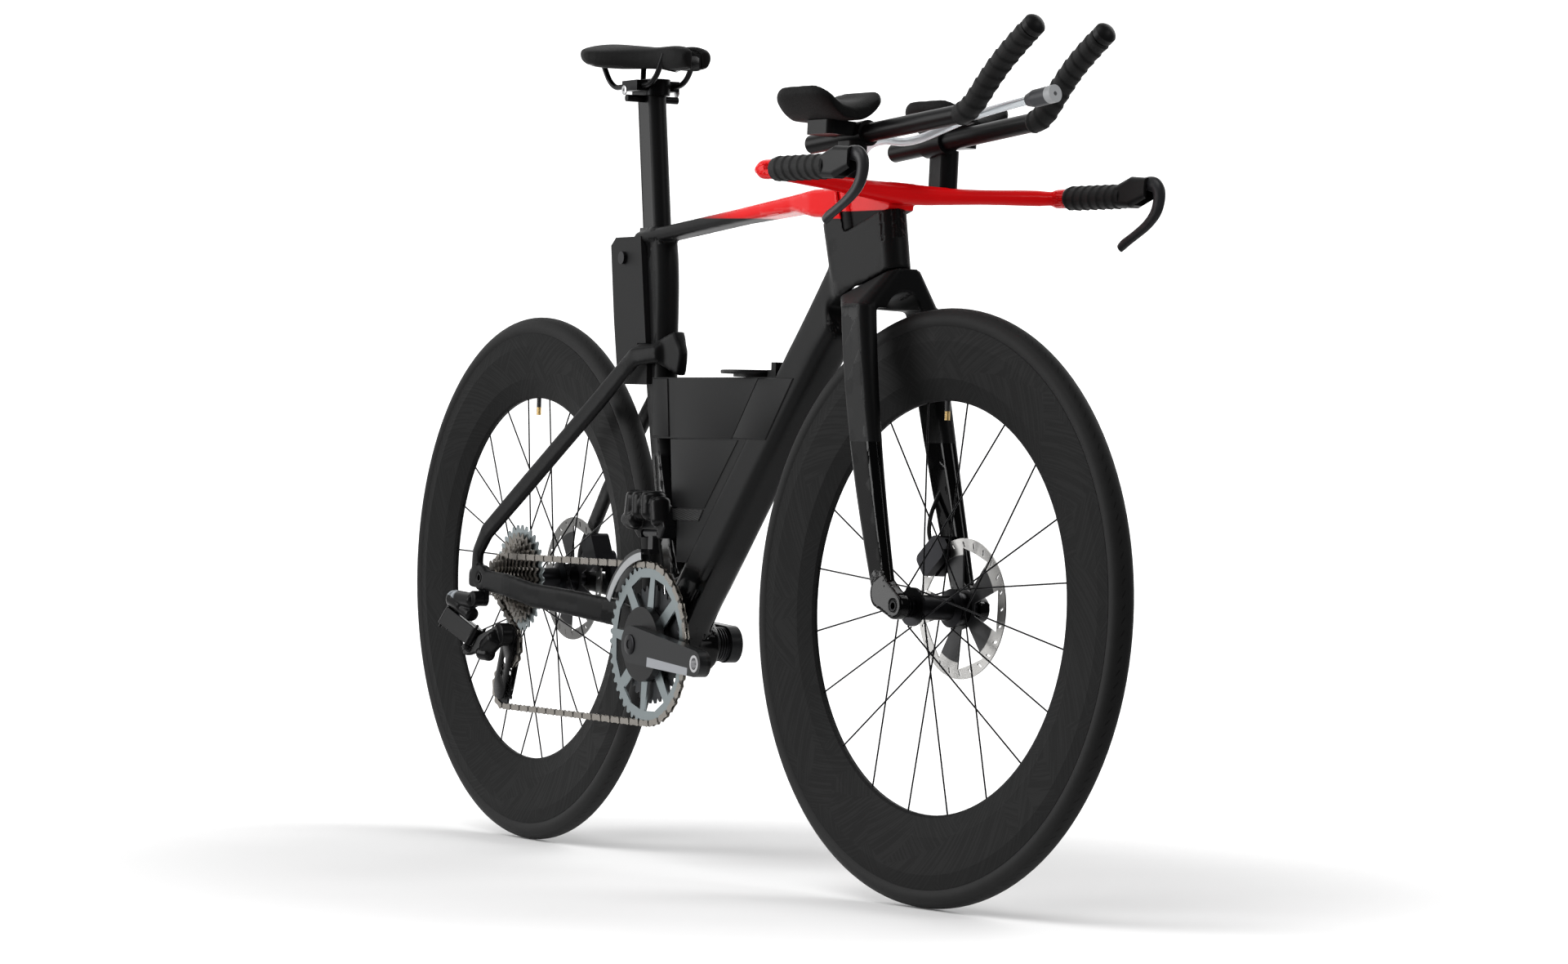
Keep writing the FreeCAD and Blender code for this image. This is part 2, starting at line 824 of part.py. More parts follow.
def stay_section(place, direction, depth, width):
    """A rounded upright section square to a stay's direction."""
    rise = LEFT.cross(direction).normalize()
    if rise.z < 0:
        rise = rise * -1
    half = rise * (depth / 2)
    sideways = rise.cross(direction).normalize()
    return teardrop(place + half, place - half, width / 2, width / 2, sideways)


def stay(places, depths, width):
    sections = []
    for index, (place, depth) in enumerate(zip(places, depths)):
        ahead = places[min(index + 1, len(places) - 1)]
        behind = places[max(index - 1, 0)]
        run = ahead - behind
        sections.append(stay_section(place, point(run.x, 0, run.z).normalize(), depth, width))
    return loft(sections, True)


def rear_triangle(main):
    """Both chainstays and seatstays with their dropouts, and the fairing round the seat tube."""
    width = size("stay_width")
    side = size("rear_dropout_gap") / 2 + width / 2
    tyre_side = size("tyre_section") + size("stay_tyre_gap") + width / 2
    depth = size("chainstay_depth")
    tail = size("chainstay_tail")
    low_places = (
        point(-tail, side, 0),
        point(70, side, -7),
        point(0.32 * BRACKET.x, side - 9, -18),
        point(0.5 * BRACKET.x, 0.5 * (side + tyre_side) + 1, -24),
        point(0.71 * BRACKET.x, tyre_side + 1, -34),
        point(BRACKET.x - 20, tyre_side, BRACKET.z + 12),
    )
    chainstay = stay(low_places, (depth * 0.8, depth * 0.95, depth, depth * 1.05, depth * 1.1, depth * 1.5),
                     width)
    seat = BRACKET + point(-88, 0, 0)
    collar = size("stay_collar_height")
    high_places = (
        point(-tail + 14, side, -2),
        point(-tail + 17, side, 33),
        point(-tail + 40, side - 1, 60),
        point(80, side - 15, 115),
        point(244, tyre_side + 10, 232),
        point(seat.x + 1, tyre_side, collar - 4),
        point(seat.x + 44, tyre_side - 12, collar),
    )
    depths = [size("seatstay_depth") * share for share in (0.85, 0.8, 0.95, 1, 1, 1, 0.9)]
    seatstay = stay(high_places, depths, width)
    axle = point(0, side, 0)
    dropout = rod(axle - LEFT * (width / 2), axle + LEFT * (width / 2), size("dropout_radius"))
    left = joined([chainstay, seatstay, dropout])
    tip = point(seat.x + 79, 0, collar)
    heel = point(seat.x - 20, 0, collar)
    peak = size("stay_collar_peak")
    band = size("seatstay_depth") / 2
    outline = [(tip.x, collar), (tip.x - 17, collar + peak), (tip.x - 55, collar + band),
               (heel.x, collar + band),
               (heel.x, collar - band), (tip.x - 45, collar - band), (tip.x - 8, collar - peak)]
    profile = side_plate(outline, 0, 200)
    fairing = prism(teardrop(tip, heel, 7, tyre_side - 2, LEFT), UP * (3 * peak)).common(profile)
    axle_hole = rod(axle * -2, axle * 2, size("axle_radius"))
    tyre_room = rod(LEFT * -(tyre_side - width / 2), LEFT * (tyre_side - width / 2),
                    size("tyre_radius") + 7)
    whole = joined([left, mirrored(left), fairing])
    return biggest(whole.cut([main, axle_hole, tyre_room]))


def derailleur_hanger():
    """A plate below the right dropout that carries the rear derailleur's bolt."""
    side = -(size("rear_dropout_gap") / 2 + size("hanger_thickness") / 2)
    top = point(0, side, -size("dropout_radius") / 2)
    bolt = point(0, side, size("hanger_bolt_z"))
    plate = strap([top, bolt], [size("knuckle_radius") - 1, size("knuckle_radius")],
                  size("hanger_thickness"))
    bore = rod(bolt - LEFT * 20, bolt + LEFT * 20, 4)
    return plate.cut(bore)


def make_rear_axle():
    half = "(sizes.rear_dropout_gap / 2 + sizes.stay_width)"
    corners = [
        ("sizes.axle_bore_radius", f"-{half}"),
        ("sizes.axle_radius", f"-{half}"),
        ("sizes.axle_radius", half),
        ("sizes.axle_radius + 3", half),
        ("sizes.axle_radius + 3", f"{half} + 4"),
        ("sizes.axle_bore_radius", f"{half} + 4"),
    ]
    keep("rear_axle", turned("rear_axle", [corners]))


def make_bearings():
    """Headset and bottom bracket rings, seated in the frame."""
    rings = []
    bore = size("steerer_radius") + size("running_gap")
    height = size("headset_height")
    for low in (size("head_low"), size("head_high") - height):
        rings.append(tube(on_steerer(low), on_steerer(low + height), size("headset_radius"), bore))
    bore = size("spindle_radius") + size("running_gap")
    half = size("bracket_shell_width") / 2
    for start in (-half, half - size("bracket_bearing_width")):
        inner = BRACKET + LEFT * start
        rings.append(tube(inner, inner + LEFT * size("bracket_bearing_width"),
                          size("bracket_bearing_radius"), bore))
    keep("frame_bearings", Part.makeCompound(rings))


# Storage

def make_storage(main, tail):
    """The box inside the frame with its fill lid, and the box behind the seat tube with its latch."""
    wall = size("box_wall")
    top = size("frame_box_top")
    front = size("frame_box_front")
    floor = size("frame_box_floor")
    rear = BRACKET.x - 48
    middle = top - 75
    outside = [(rear, top), (front, top), (front - 63, middle), (front - 105, middle),
               (BRACKET.x + 118, floor + 18), (BRACKET.x + 100, floor - 10), (BRACKET.x + 50, floor - 48),
               (BRACKET.x + 24, floor - 48), (BRACKET.x + 22, middle), (rear + 2, middle)]
    inside = [(BRACKET.x - 12, top - wall), (front - 90, top - wall), (front - 150, middle),
              (BRACKET.x + 78, floor + 18),
              (BRACKET.x + 74, floor + wall), (BRACKET.x + 32, floor + wall), (BRACKET.x + 28, middle)]
    width = size("frame_box_width")
    box = side_plate(outside, 0, width).cut([side_plate(inside, 0, width - 2 * wall), main, tail])
    fill = point(size("lid_place"), 0, top)
    box = biggest(box.cut(rod(fill - UP * 20, fill + UP * 5, size("fill_hole_radius"))))
    gap = size("part_gap")
    hinge = fill + AHEAD * (size("lid_radius") + 7) + UP * 5
    lid = rod(fill + UP * gap, fill + UP * size("lid_height"), size("lid_radius"))
    tongue = Part.makeBox(12, 12, size("lid_height") - gap, point(hinge.x - 12, -6, top + gap))
    barrel = rod(hinge - LEFT * 6, hinge + LEFT * 6, 4)
    pin_hole = rod(hinge - LEFT * 20, hinge + LEFT * 20, 1.5 + size("running_gap"))
    keep("fill_lid", joined([lid, tongue, barrel]).cut(pin_hole))
    cheeks = Part.makeBox(9, 26, 9, point(hinge.x - 4, -13, top))
    barrel_room = Part.makeBox(9, 12 + 2 * gap, 9, point(hinge.x - 4, -6 - gap, top))
    block = Part.makeBox(11, 26, size("lid_hinge_height"), point(hinge.x + 5, -13, top))
    pin = rod(hinge - LEFT * 10, hinge + LEFT * 10, 1.5)
    keep("frame_storage_box", joined([box, cheeks.cut(barrel_room), block, pin]))
    rear_top = size("rear_box_top")
    rear_floor = size("rear_box_floor")
    back = size("rear_box_back")
    shape = [(back + 13, rear_top), (BRACKET.x - 97, rear_top), (BRACKET.x - 73, rear_floor + 20),
             (BRACKET.x - 73, rear_floor), (back + 26, rear_floor), (back + 12, rear_floor + 80),
             (back, rear_top - 10)]
    hollow = [(back + 14, rear_top - wall * 2), (BRACKET.x - 132, rear_top - wall * 2),
              (BRACKET.x - 118, rear_floor + 60), (back + 24, rear_floor + 60), (back + 6, rear_top - 14)]
    width = size("rear_box_width")
    rear_box = side_plate(shape, 0, width).cut([side_plate(hollow, 0, width - 2 * wall), main, tail])
    keep("rear_storage_box", biggest(rear_box))
    latch = bound("Part::Cylinder", "latch", Radius="sizes.latch_radius", Height="sizes.latch_height")
    seat = point(back + 36, -size("rear_box_width") / 2 - gap, rear_top - 26)
    keep("rear_box_latch", latch, FreeCAD.Placement(seat, FreeCAD.Rotation(UP, LEFT * -1)))


def biggest(shape):
    return max(shape.Solids, key=lambda solid: solid.Volume)


# Seat

def make_seat():
    """Seatpost, rail clamp, rails, shell and cover."""
    rail_z = size("rail_height")
    post_length = (size("post_top") - SEAT_TOP.z) / POST_UP.z
    post = loft([post_section(-size("post_inserted"), 0), post_section(post_length, 0)], True)
    keep("seatpost", post)
    head = SEAT_TOP + POST_UP * post_length
    half = size("rail_spacing") / 2
    clamp = prism(teardrop(head + point(34, 0, 0), head - point(34, 0, 0), 16, 14, LEFT), UP * 20)
    clamp.translate(UP * 10)
    yoke = Part.makeBox(40, 2 * half + 16, 13, point(head.x - 20, -half - 8, rail_z - 6.5))
    groove = size("rail_radius") + size("running_gap") * 2
    grooves = [rod(point(head.x - 60, side, rail_z), point(head.x + 60, side, rail_z), groove)
               for side in (-half, half)]
    bolt = rod(point(head.x + 4, -half - 14, rail_z - 16), point(head.x + 4, half + 14, rail_z - 16), 4.5)
    keep("saddle_clamp", joined([clamp, yoke, bolt]).cut(grooves + [post]))
    cover, shell = saddle_shapes()
    keep("saddle_cover", cover)
    keep("saddle_shell", shell)
    tail = size("saddle_tail")
    nose = tail + size("saddle_length")
    high = size("saddle_height") - 8
    route = [point(tail + 34, half + 8, high), point(tail + 48, half, rail_z),
             point(nose - 72, half, rail_z),
             point(nose - 46, half, high)]
    rails = both_sides(pipe(route, size("rail_radius"))).cut([cover, shell])
    keep("saddle_rails", Part.makeCompound([biggest(rails.common(half_space(side))) for side in (1, -1)]))


def half_space(sign):
    """A large block on one side of the bike's middle."""
    reach = 2000
    return Part.makeBox(2 * reach, reach, 2 * reach, point(-reach, 0 if sign > 0 else -reach, -reach))


def saddle_section(x, half_width, top, crown, skirt, grow):
    """A section across the saddle: a crowned top arc over sides that draw in to a flat base."""
    wide = half_width - grow
    high = top - grow
    low = top - skirt
    left_high = point(x, wide, high - crown)
    right_high = point(x, -wide, high - crown)
    left_low = point(x, wide - 5, low)
    right_low = point(x, -wide + 5, low)
    edges = (
        Part.Arc(left_high, point(x, 0, high), right_high),
        Part.Arc(right_high, point(x, -wide - 1.5, (high - crown + low) / 2), right_low),
        Part.LineSegment(right_low, left_low),
        Part.Arc(left_low, point(x, wide + 1.5, (high - crown + low) / 2), left_high),
    )
    return Part.Wire([edge.toShape() for edge in edges])


def saddle_form(grow, drop):
    """The saddle's outer form, drawn in by grow and with a base lower by drop."""
    tail = size("saddle_tail")
    length = size("saddle_length")
    half = size("saddle_width") / 2
    nose = size("saddle_nose_width") / 2
    skirt = size("saddle_skirt")
    top = size("saddle_height")
    stations = ((0.0, half * 0.38, 12, 0.6), (0.06, half * 0.7, 14, 0.8), (0.22, half, 11, 1),
                (0.48, half * 0.7, 5, 1),
                (0.72, nose * 1.12, 3, 1), (0.92, nose, 1, 1.05), (1.0, nose * 0.8, -5, 0.8))
    sections = []
    for share, half_width, lift, depth in stations:
        inset = grow * (1 - 2 * share)
        x = tail + inset + share * length
        sections.append(saddle_section(x, half_width, top + lift, half_width * 0.16, skirt * depth + drop,
                                       grow))
    return loft(sections)


def saddle_shapes():
    """A padded cover over a thin shell, both split along the nose."""
    outer = saddle_form(0, 0)
    middle = saddle_form(size("shell_thickness"), 1)
    inner = saddle_form(size("shell_thickness") * 1.7, 3)
    nose = size("saddle_tail") + size("saddle_length")
    half_gap = size("saddle_split_width") / 2
    start = nose - size("saddle_split_length")
    tip = point(nose + 20, 0, size("saddle_height"))
    split = prism(teardrop(tip, point(start, 0, tip.z), half_gap + 2, half_gap, LEFT), UP * 200)
    cover = biggest(outer.cut([middle, split]))
    shell = biggest(middle.cut([inner, split]))
    return cover, shell


# Drive

def sprocket_side(index):
    """The side position of one sprocket, counted from the smallest, with the chain on its own line."""
    return -size("chain_line") + (index - int(size("chain_sprocket"))) * size("sprocket_pitch")


SPROCKETS = (10, 11, 12, 13, 14, 15, 17, 19, 21, 24, 28, 33)


def make_cassette():
    """Twelve sprockets on one drum that runs on the rear hub."""
    thickness = size("sprocket_thickness")
    bore = size("hub_radius") - 2 + size("running_gap")
    drum_radius = size("hub_radius") + 2.5
    drum = tube(LEFT * (sprocket_side(0) - 2), LEFT * (sprocket_side(len(SPROCKETS) - 1) + thickness / 2),
                drum_radius, bore)
    wheels = [toothed(teeth, thickness, bore, sprocket_side(index), point(0, 0, 0))
              for index, teeth in enumerate(SPROCKETS)]
    keep("cassette", joined([drum] + wheels))


def make_rings():
    line = -size("chain_line")
    inner = line + size("ring_spacing")
    thickness = size("ring_thickness")
    bore = size("ring_bore_radius")
    large = toothed(int(size("large_ring_teeth")), thickness, bore, line, BRACKET)
    windows = []
    outer = pitch_radius(size("large_ring_teeth")) - 15
    for middle in (15, 61, 105, 151, 195, 241, 285, 331):
        corners = [polar(BRACKET, bore + 12, middle - 11), polar(BRACKET, outer, middle - 18),
                   polar(BRACKET, outer + 2, middle), polar(BRACKET, outer, middle + 18),
                   polar(BRACKET, bore + 12, middle + 11)]
        windows.append(side_plate([(corner.x, corner.z) for corner in corners], line, 20))
    keep("large_chainring", large.cut(windows))
    small = toothed(int(size("small_ring_teeth")), thickness, size("spider_radius") - 8, inner, BRACKET)
    keep("small_chainring", small)


def crank_arm(sign, angle):
    """An arm from the spindle to its pedal thread. sign is -1 on the right and 1 on the left."""
    side = sign * (size("crank_inner") + size("crank_thickness") / 2)
    boss = BRACKET + LEFT * side
    eye = polar(boss, size("crank_length"), angle)
    arm = strap([boss, eye], [size("crank_boss_radius"), size("crank_end_radius")], size("crank_thickness"))
    thread = rod(eye - LEFT * 40, eye + LEFT * 40, size("pedal_thread_radius"))
    return arm.cut(thread)


def make_cranks():
    """The right crank carries the spindle and the spider, the left one clamps on the spindle's end."""
    angle = -size("crank_angle")
    outer = size("crank_inner") + size("crank_thickness")
    right = crank_arm(-1, angle)
    line = size("chain_line")
    spider_start = BRACKET - LEFT * (line + size("ring_thickness") / 2)
    spider = rod(spider_start, BRACKET - LEFT * (size("crank_inner") + 1), size("spider_radius"))
    carrier_end = line - size("ring_spacing") + size("ring_thickness") / 2
    carrier = rod(BRACKET - LEFT * carrier_end, BRACKET - LEFT * (line + 1), size("ring_bore_radius"))
    shelf = tube(BRACKET - LEFT * (line - size("ring_thickness") / 2), BRACKET - LEFT * carrier_end,
                 size("spider_radius"), size("ring_bore_radius") - 2)
    neck = rod(BRACKET - LEFT * carrier_end, BRACKET - LEFT * (size("bracket_shell_width") / 2 + 1),
               size("spindle_radius") + 4)
    spindle = rod(BRACKET - LEFT * outer, BRACKET + LEFT * outer, size("spindle_radius"))
    bore = rod(BRACKET - LEFT * (outer + 1), BRACKET + LEFT * (outer + 1), size("spindle_bore_radius"))
    keep("right_crank", joined([right, spider, carrier, shelf, neck, spindle]).cut(bore))
    left = crank_arm(1, angle + 180)
    collar = rod(BRACKET + LEFT * (size("bracket_shell_width") / 2 + 1),
                 BRACKET + LEFT * (size("crank_inner") + 1),
                 size("crank_boss_radius") - 3)
    clear = rod(BRACKET - LEFT * (outer + 1), BRACKET + LEFT * (outer + 1), size("spindle_radius"))
    keep("left_crank", joined([left, collar]).cut(clear))


def loop_path(wheels, offset):
    """The closed line of a chain round (centre, radius, turn) wheels, moved outwards by offset."""
    runs = []
    pairs = zip(wheels, wheels[1:] + wheels[:1])
    for (start, start_radius, start_turn), (end, end_radius, end_turn) in pairs:
        gap = end - start
        reach = start_turn * start_radius - end_turn * end_radius
        heading = math.atan2(gap.z, gap.x) + math.asin(reach / gap.Length)
        right = point(math.sin(heading), 0, -math.cos(heading))
        runs.append((start + right * (start_turn * start_radius + offset),
                     end + right * (end_turn * end_radius + offset)))
    edges = []
    for index, (leave, arrive) in enumerate(runs):
        centre, radius, turn = wheels[(index + 1) % len(wheels)]
        following = runs[(index + 1) % len(runs)][0]
        first = math.atan2(arrive.z - centre.z, arrive.x - centre.x)
        last = math.atan2(following.z - centre.z, following.x - centre.x)
        sweep = (turn * (last - first)) % (2 * math.pi)
        middle = polar(centre, radius + turn * offset, math.degrees(first + turn * sweep / 2))
        edges.append(Part.LineSegment(leave, arrive).toShape())
        edges.append(Part.Arc(arrive, middle, following).toShape())
    return Part.Wire(edges), runs


def chain_wheels():
    """What the chain runs round, in its order of travel along the top run first."""
    pulley = pitch_radius(size("pulley_teeth"))
    ring = (BRACKET, pitch_radius(size("large_ring_teeth")), 1)
    sprocket = (point(0, 0, 0), pitch_radius(SPROCKETS[int(size("chain_sprocket"))]), 1)
    upper = (point(size("upper_pulley_x"), 0, size("upper_pulley_z")), pulley, -1)
    lower = (point(size("lower_pulley_x"), 0, size("lower_pulley_z")), pulley, 1)
    return [ring, sprocket, upper, lower]


def make_chain():
    """Two rows of side plates round the wheels, with rollers along the open top and bottom runs."""
    half = size("chain_height") / 2
    outer, runs = loop_path(chain_wheels(), half)
    inner, runs = loop_path(chain_wheels(), -half)
    middle, runs = loop_path(chain_wheels(), 0)
    plate = (size("chain_width") - size("chain_inner_width")) / 2
    band = Part.Face(outer).cut(Part.Face(inner))
    solids = []
    line = -size("chain_line")
    for start in (line - size("chain_width") / 2, line + size("chain_inner_width") / 2):
        row = band.copy()
        row.translate(LEFT * start)
        solids.append(row.extrude(LEFT * plate))
    reach = LEFT * (size("chain_inner_width") / 2)
    for leave, arrive in (runs[0], runs[3]):
        run = arrive - leave
        count = int((run.Length - 2 * size("chain_pitch")) / size("chain_pitch"))
        for index in range(2, count - 2):
            place = leave + run * ((index + 0.5) / count) + LEFT * line
            solids.append(rod(place - reach, place + reach, half * 0.8))
    keep("chain", joined(solids))


# Derailleurs

def make_front_derailleur(main, tail):
    """A body on the seat tube's right side and a cage over the large ring."""
    line = -size("chain_line")
    hinge = BRACKET + point(-22, -size("front_hinge_side"), size("front_hinge_height"))
    body = side_plate([(hinge.x - 44, hinge.z + 6), (hinge.x - 30, hinge.z + 34),
                       (hinge.x + 28, hinge.z + 34),
                       (hinge.x + 40, hinge.z + 8), (hinge.x + 30, hinge.z - 6),
                       (hinge.x - 30, hinge.z - 6)],
                      hinge.y + 7, 26)
    pin_room = rod(hinge - AHEAD * 22, hinge + AHEAD * 22, 5.5 + size("part_gap"))
    slot = Part.makeBox(40, 30, 16, point(hinge.x - 20, hinge.y - 24, hinge.z - 12))
    pin = rod(hinge - AHEAD * 26, hinge + AHEAD * 26, 2)
    body = body.cut([pin_room, slot, main, tail])
    keep("front_derailleur_body", joined([biggest(body), pin]))
    ring_tip = pitch_radius(size("large_ring_teeth")) + size("tooth_height")
    low = ring_tip + 3
    high = ring_tip + 16
    plates = []
    for side in (line - 6, line + 6):
        plates.append(arc_plate(BRACKET, low, high, 96, 152, side, size("cage_plate")))
    bridge = arc_plate(BRACKET, high - 2, high + 1, 98, 118, line, 14)
    tail_pin = arc_plate(BRACKET, high - 3, high, 148, 152, line, 14)
    eye = tube(hinge - AHEAD * 18, hinge + AHEAD * 18, 5, 2 + size("running_gap"))
    top = polar(BRACKET, high, 102)
    stem = Part.makeBox(12, abs(line - hinge.y) + 10, 6, point(hinge.x - 6, line - 4, top.z - 4))
    web = Part.makeBox(12, 8, hinge.z - top.z, point(hinge.x - 6, hinge.y - 4, top.z - 2))
    bore = rod(hinge - AHEAD * 30, hinge + AHEAD * 30, 2 + size("running_gap"))
    keep("front_derailleur_cage", joined(plates + [bridge, tail_pin, eye, stem, web]).cut(bore))


def arc_plate(centre, low, high, start, end, side, thickness):
    """A curved plate between two radii and two angles about a centre."""
    middle = (start + end) / 2
    edges = (
        Part.Arc(polar(centre, high, start), polar(centre, high, middle), polar(centre, high, end)),
        Part.LineSegment(polar(centre, high, end), polar(centre, low, end)),
        Part.Arc(polar(centre, low, end), polar(centre, low, middle), polar(centre, low, start)),
        Part.LineSegment(polar(centre, low, start), polar(centre, high, start)),
    )
    wire = Part.Wire([edge.toShape() for edge in edges])
    plate = prism(wire, LEFT * thickness)
    plate.translate(LEFT * side)
    return plate


LINK_BACK = point(size("link_back_x"), size("link_back_y"), size("link_back_z"))
LINK_FRONT = point(size("link_front_x"), size("link_front_y"), size("link_front_z"))
LINK_RUN = (LINK_FRONT - LINK_BACK).normalize()
LINK_SLANT = math.radians(size("link_slant"))
LINK_LEVEL = LINK_RUN.cross(LEFT).normalize()
LINK_AXIS = (LINK_LEVEL * math.cos(LINK_SLANT)
             + LINK_RUN.cross(LINK_LEVEL) * math.sin(LINK_SLANT)).normalize()
LINK_STEP = LINK_AXIS.cross(LINK_RUN).normalize() * size("link_spacing")


def make_rear_derailleur():
    """Knuckles, two parallel links, a sprung cage and two pulleys."""
    line = -size("chain_line")
    pin_radius = size("link_pin_radius")
    height = size("link_height")
    pin_reach = LINK_AXIS * (height / 2 + 5)
    lug_path = LINK_AXIS * 6
    lug_shift = LINK_AXIS * (height / 2 + size("part_gap") + 3)
    round_end = pin_radius + 3
    for label, start in (("derailleur_outer_link", LINK_BACK),
                         ("derailleur_inner_link", LINK_BACK + LINK_STEP)):
        end = start + (LINK_FRONT - LINK_BACK)
        link = bar(start, end, round_end, round_end, LINK_AXIS * height)
        holes = [rod(place - pin_reach, place + pin_reach,
                     pin_radius + size("running_gap")) for place in (start, end)]
        keep(label, link.cut(holes))
    bolt_side = -(size("rear_dropout_gap") / 2 + size("hanger_thickness"))
    bolt = point(0, bolt_side, size("hanger_bolt_z"))
    knuckle = rod(bolt, bolt - LEFT * 14, size("knuckle_radius"))
    stud = rod(bolt + LEFT * 9, bolt, 4)
    pins, lug = link_lug(LINK_BACK, pin_radius, pin_reach, lug_path, lug_shift)
    arm = bar(bolt - LEFT * 8, LINK_BACK + lug_shift + LINK_STEP * 0.5, 10, 9, LEFT * 10)
    arm = biggest(joined([knuckle, arm]).cut(link_room(LINK_BACK, 1)))
    keep("derailleur_b_knuckle", joined([stud, arm, lug] + pins))
    pivot = point(size("upper_pulley_x") + 6, 0, size("upper_pulley_z") + 14)
    face = line - size("cage_spread") - size("cage_plate") / 2 - size("part_gap")
    knuckle = rod(pivot + LEFT * face, pivot + LEFT * (face - 16), 15)
    pins, lug = link_lug(LINK_FRONT, pin_radius, pin_reach, lug_path, lug_shift * -1)
    arm = bar(LINK_FRONT + LINK_STEP * 0.5 - lug_shift, pivot + LEFT * (face - 12), 9, 13, LEFT * 8)
    arm = biggest(joined([knuckle, arm]).cut(link_room(LINK_FRONT, -1)))
    pivot_pin = rod(pivot + LEFT * (face - 1),
                    pivot + LEFT * (line - size("cage_spread") + size("cage_plate") / 2), 4)
    keep("derailleur_p_knuckle", joined([arm, lug, pivot_pin] + pins))
    make_cage(line, pivot)


def link_room(place, sign):
    """The space both links sweep about their pins at one end."""
    grow = size("link_pin_radius") + 3 + 2 * size("part_gap")
    path = LINK_AXIS * (size("link_height") + 2 * size("part_gap"))
    room = []
    for shift in (point(0, 0, 0), LINK_STEP):
        start = place + shift
        for turn in (size("link_swing_out"), 0, size("link_swing_in") / 2, size("link_swing_in")):
            swept = bar(start, start + LINK_RUN * (sign * 70), grow, grow, path)
            swept.rotate(start, LINK_AXIS, sign * turn)
            room.append(swept)
    return room


def link_lug(place, pin_radius, pin_reach, path, shift):
    """Two pins on a lug just past the links' ends."""
    pins = [rod(start - pin_reach, start + pin_reach, pin_radius) for start in (place, place + LINK_STEP)]
    lug = bar(place + shift, place + LINK_STEP + shift, pin_radius + 3, pin_radius + 3, path)
    return pins, lug


def make_cage(line, pivot):
    upper = point(size("upper_pulley_x"), 0, size("upper_pulley_z"))
    lower = point(size("lower_pulley_x"), 0, size("lower_pulley_z"))
    plates = []
    for side in (line - size("cage_spread"), line + size("cage_spread")):
        plate = strap([upper, lower], [17, 16], size("cage_plate"))
        if side < line:
            plate = joined([plate, strap([upper, pivot], [14, 14], size("cage_plate"))])
        plate.translate(LEFT * side)
        plates.append(plate)
    reach = LEFT * (size("cage_spread") + size("cage_plate") / 2)
    bolts = [rod(place + LEFT * line - reach, place + LEFT * line + reach, size("pulley_bolt_radius"))
             for place in (upper, lower)]
    bore = rod(pivot + LEFT * (line - 20), pivot + LEFT * line, 4 + size("running_gap"))
    keep("derailleur_cage", joined(plates + bolts).cut(bore))
    bore = size("pulley_bolt_radius") + size("running_gap")
    for label, place in (("upper_jockey_wheel", upper), ("lower_jockey_wheel", lower)):
        keep(label, toothed(int(size("pulley_teeth")), size("pulley_thickness"), bore, line, place))


# Brakes

def caliper(disc_side, centre, lean):
    """A caliper body with a slot over the brake disc."""
    body = rounded_block(size("caliper_length"), size("caliper_width"), size("caliper_height"), 7)
    slot = Part.makeBox(size("caliper_length") + 2, size("caliper_slot"), size("caliper_height"),
                        point(-size("caliper_length") / 2 - 1, -size("caliper_slot") / 2,
                              -size("caliper_height") / 2 - 8))
    body = body.cut(slot)
    body.Placement = FreeCAD.Placement(centre + LEFT * disc_side, FreeCAD.Rotation(LEFT, lean))
    return body


def rounded_block(length, width, height, edge):
    block = Part.makeBox(length, width, height, point(-length / 2, -width / 2, -height / 2))
    upright = [side for side in block.Edges if abs(side.tangentAt(side.FirstParameter).y) > 0.9]
    return block.makeFillet(edge, upright)


def make_rear_brake(tail):
    """The rear caliper on the left chainstay, over the disc."""
    disc = size("rear_dropout_gap") / 2 - size("rotor_inset")
    centre = polar(point(0, 0, 0), size("rotor_radius") - 4, 28)
    body = caliper(disc, centre, -28 + 90)
    foot = strap([point(centre.x + 4, disc + 16, centre.z - 6), point(centre.x + 10, disc + 18, -2)],
                 [9, 9], 10)
    whole = joined([body, foot.cut(body)]).cut(tail)
    keep("rear_caliper", biggest(whole))


# Fork and front brake

def fork_leg():
    """The left blade, swept from the crown to its dropout."""
    top_z = size("leg_top_height")
    low_z = size("leg_low_height")
    sections = []
    for share, chord_share, front_share, side_share in ((0, 0, 0, 0), (0.32, 0.12, 0.27, 0.5),
                                                        (0.68, 0.45, 0.64, 0.85),
                                                        (1, 1, 1, 1)):
        z = top_z + (low_z - top_z) * share
        front = size("leg_top_front") + (size("leg_low_front") - size("leg_top_front")) * front_share
        chord = size("leg_top_chord") + (size("leg_low_chord") - size("leg_top_chord")) * chord_share
        side = size("leg_top_side") + (size("leg_low_side") - size("leg_top_side")) * side_share
        half_width = (size("leg_top_width") + (size("leg_low_width") - size("leg_top_width")) * share) / 2
        sections.append(teardrop(point(front, side, z), point(front - chord, side, z), half_width,
                                 half_width * 0.5, LEFT))
    blade = loft(sections)
    inner = size("front_dropout_gap") / 2
    width = size("leg_low_width")
    eye = point(FRONT_AXLE.x, inner + width / 2, 0)
    shoulder = point(size("leg_low_front") - size("leg_low_chord") / 2, inner + width / 2, low_z + 6)
    foot = strap([shoulder, eye], [size("leg_low_chord") / 2, 15], width)
    return joined([blade, foot])


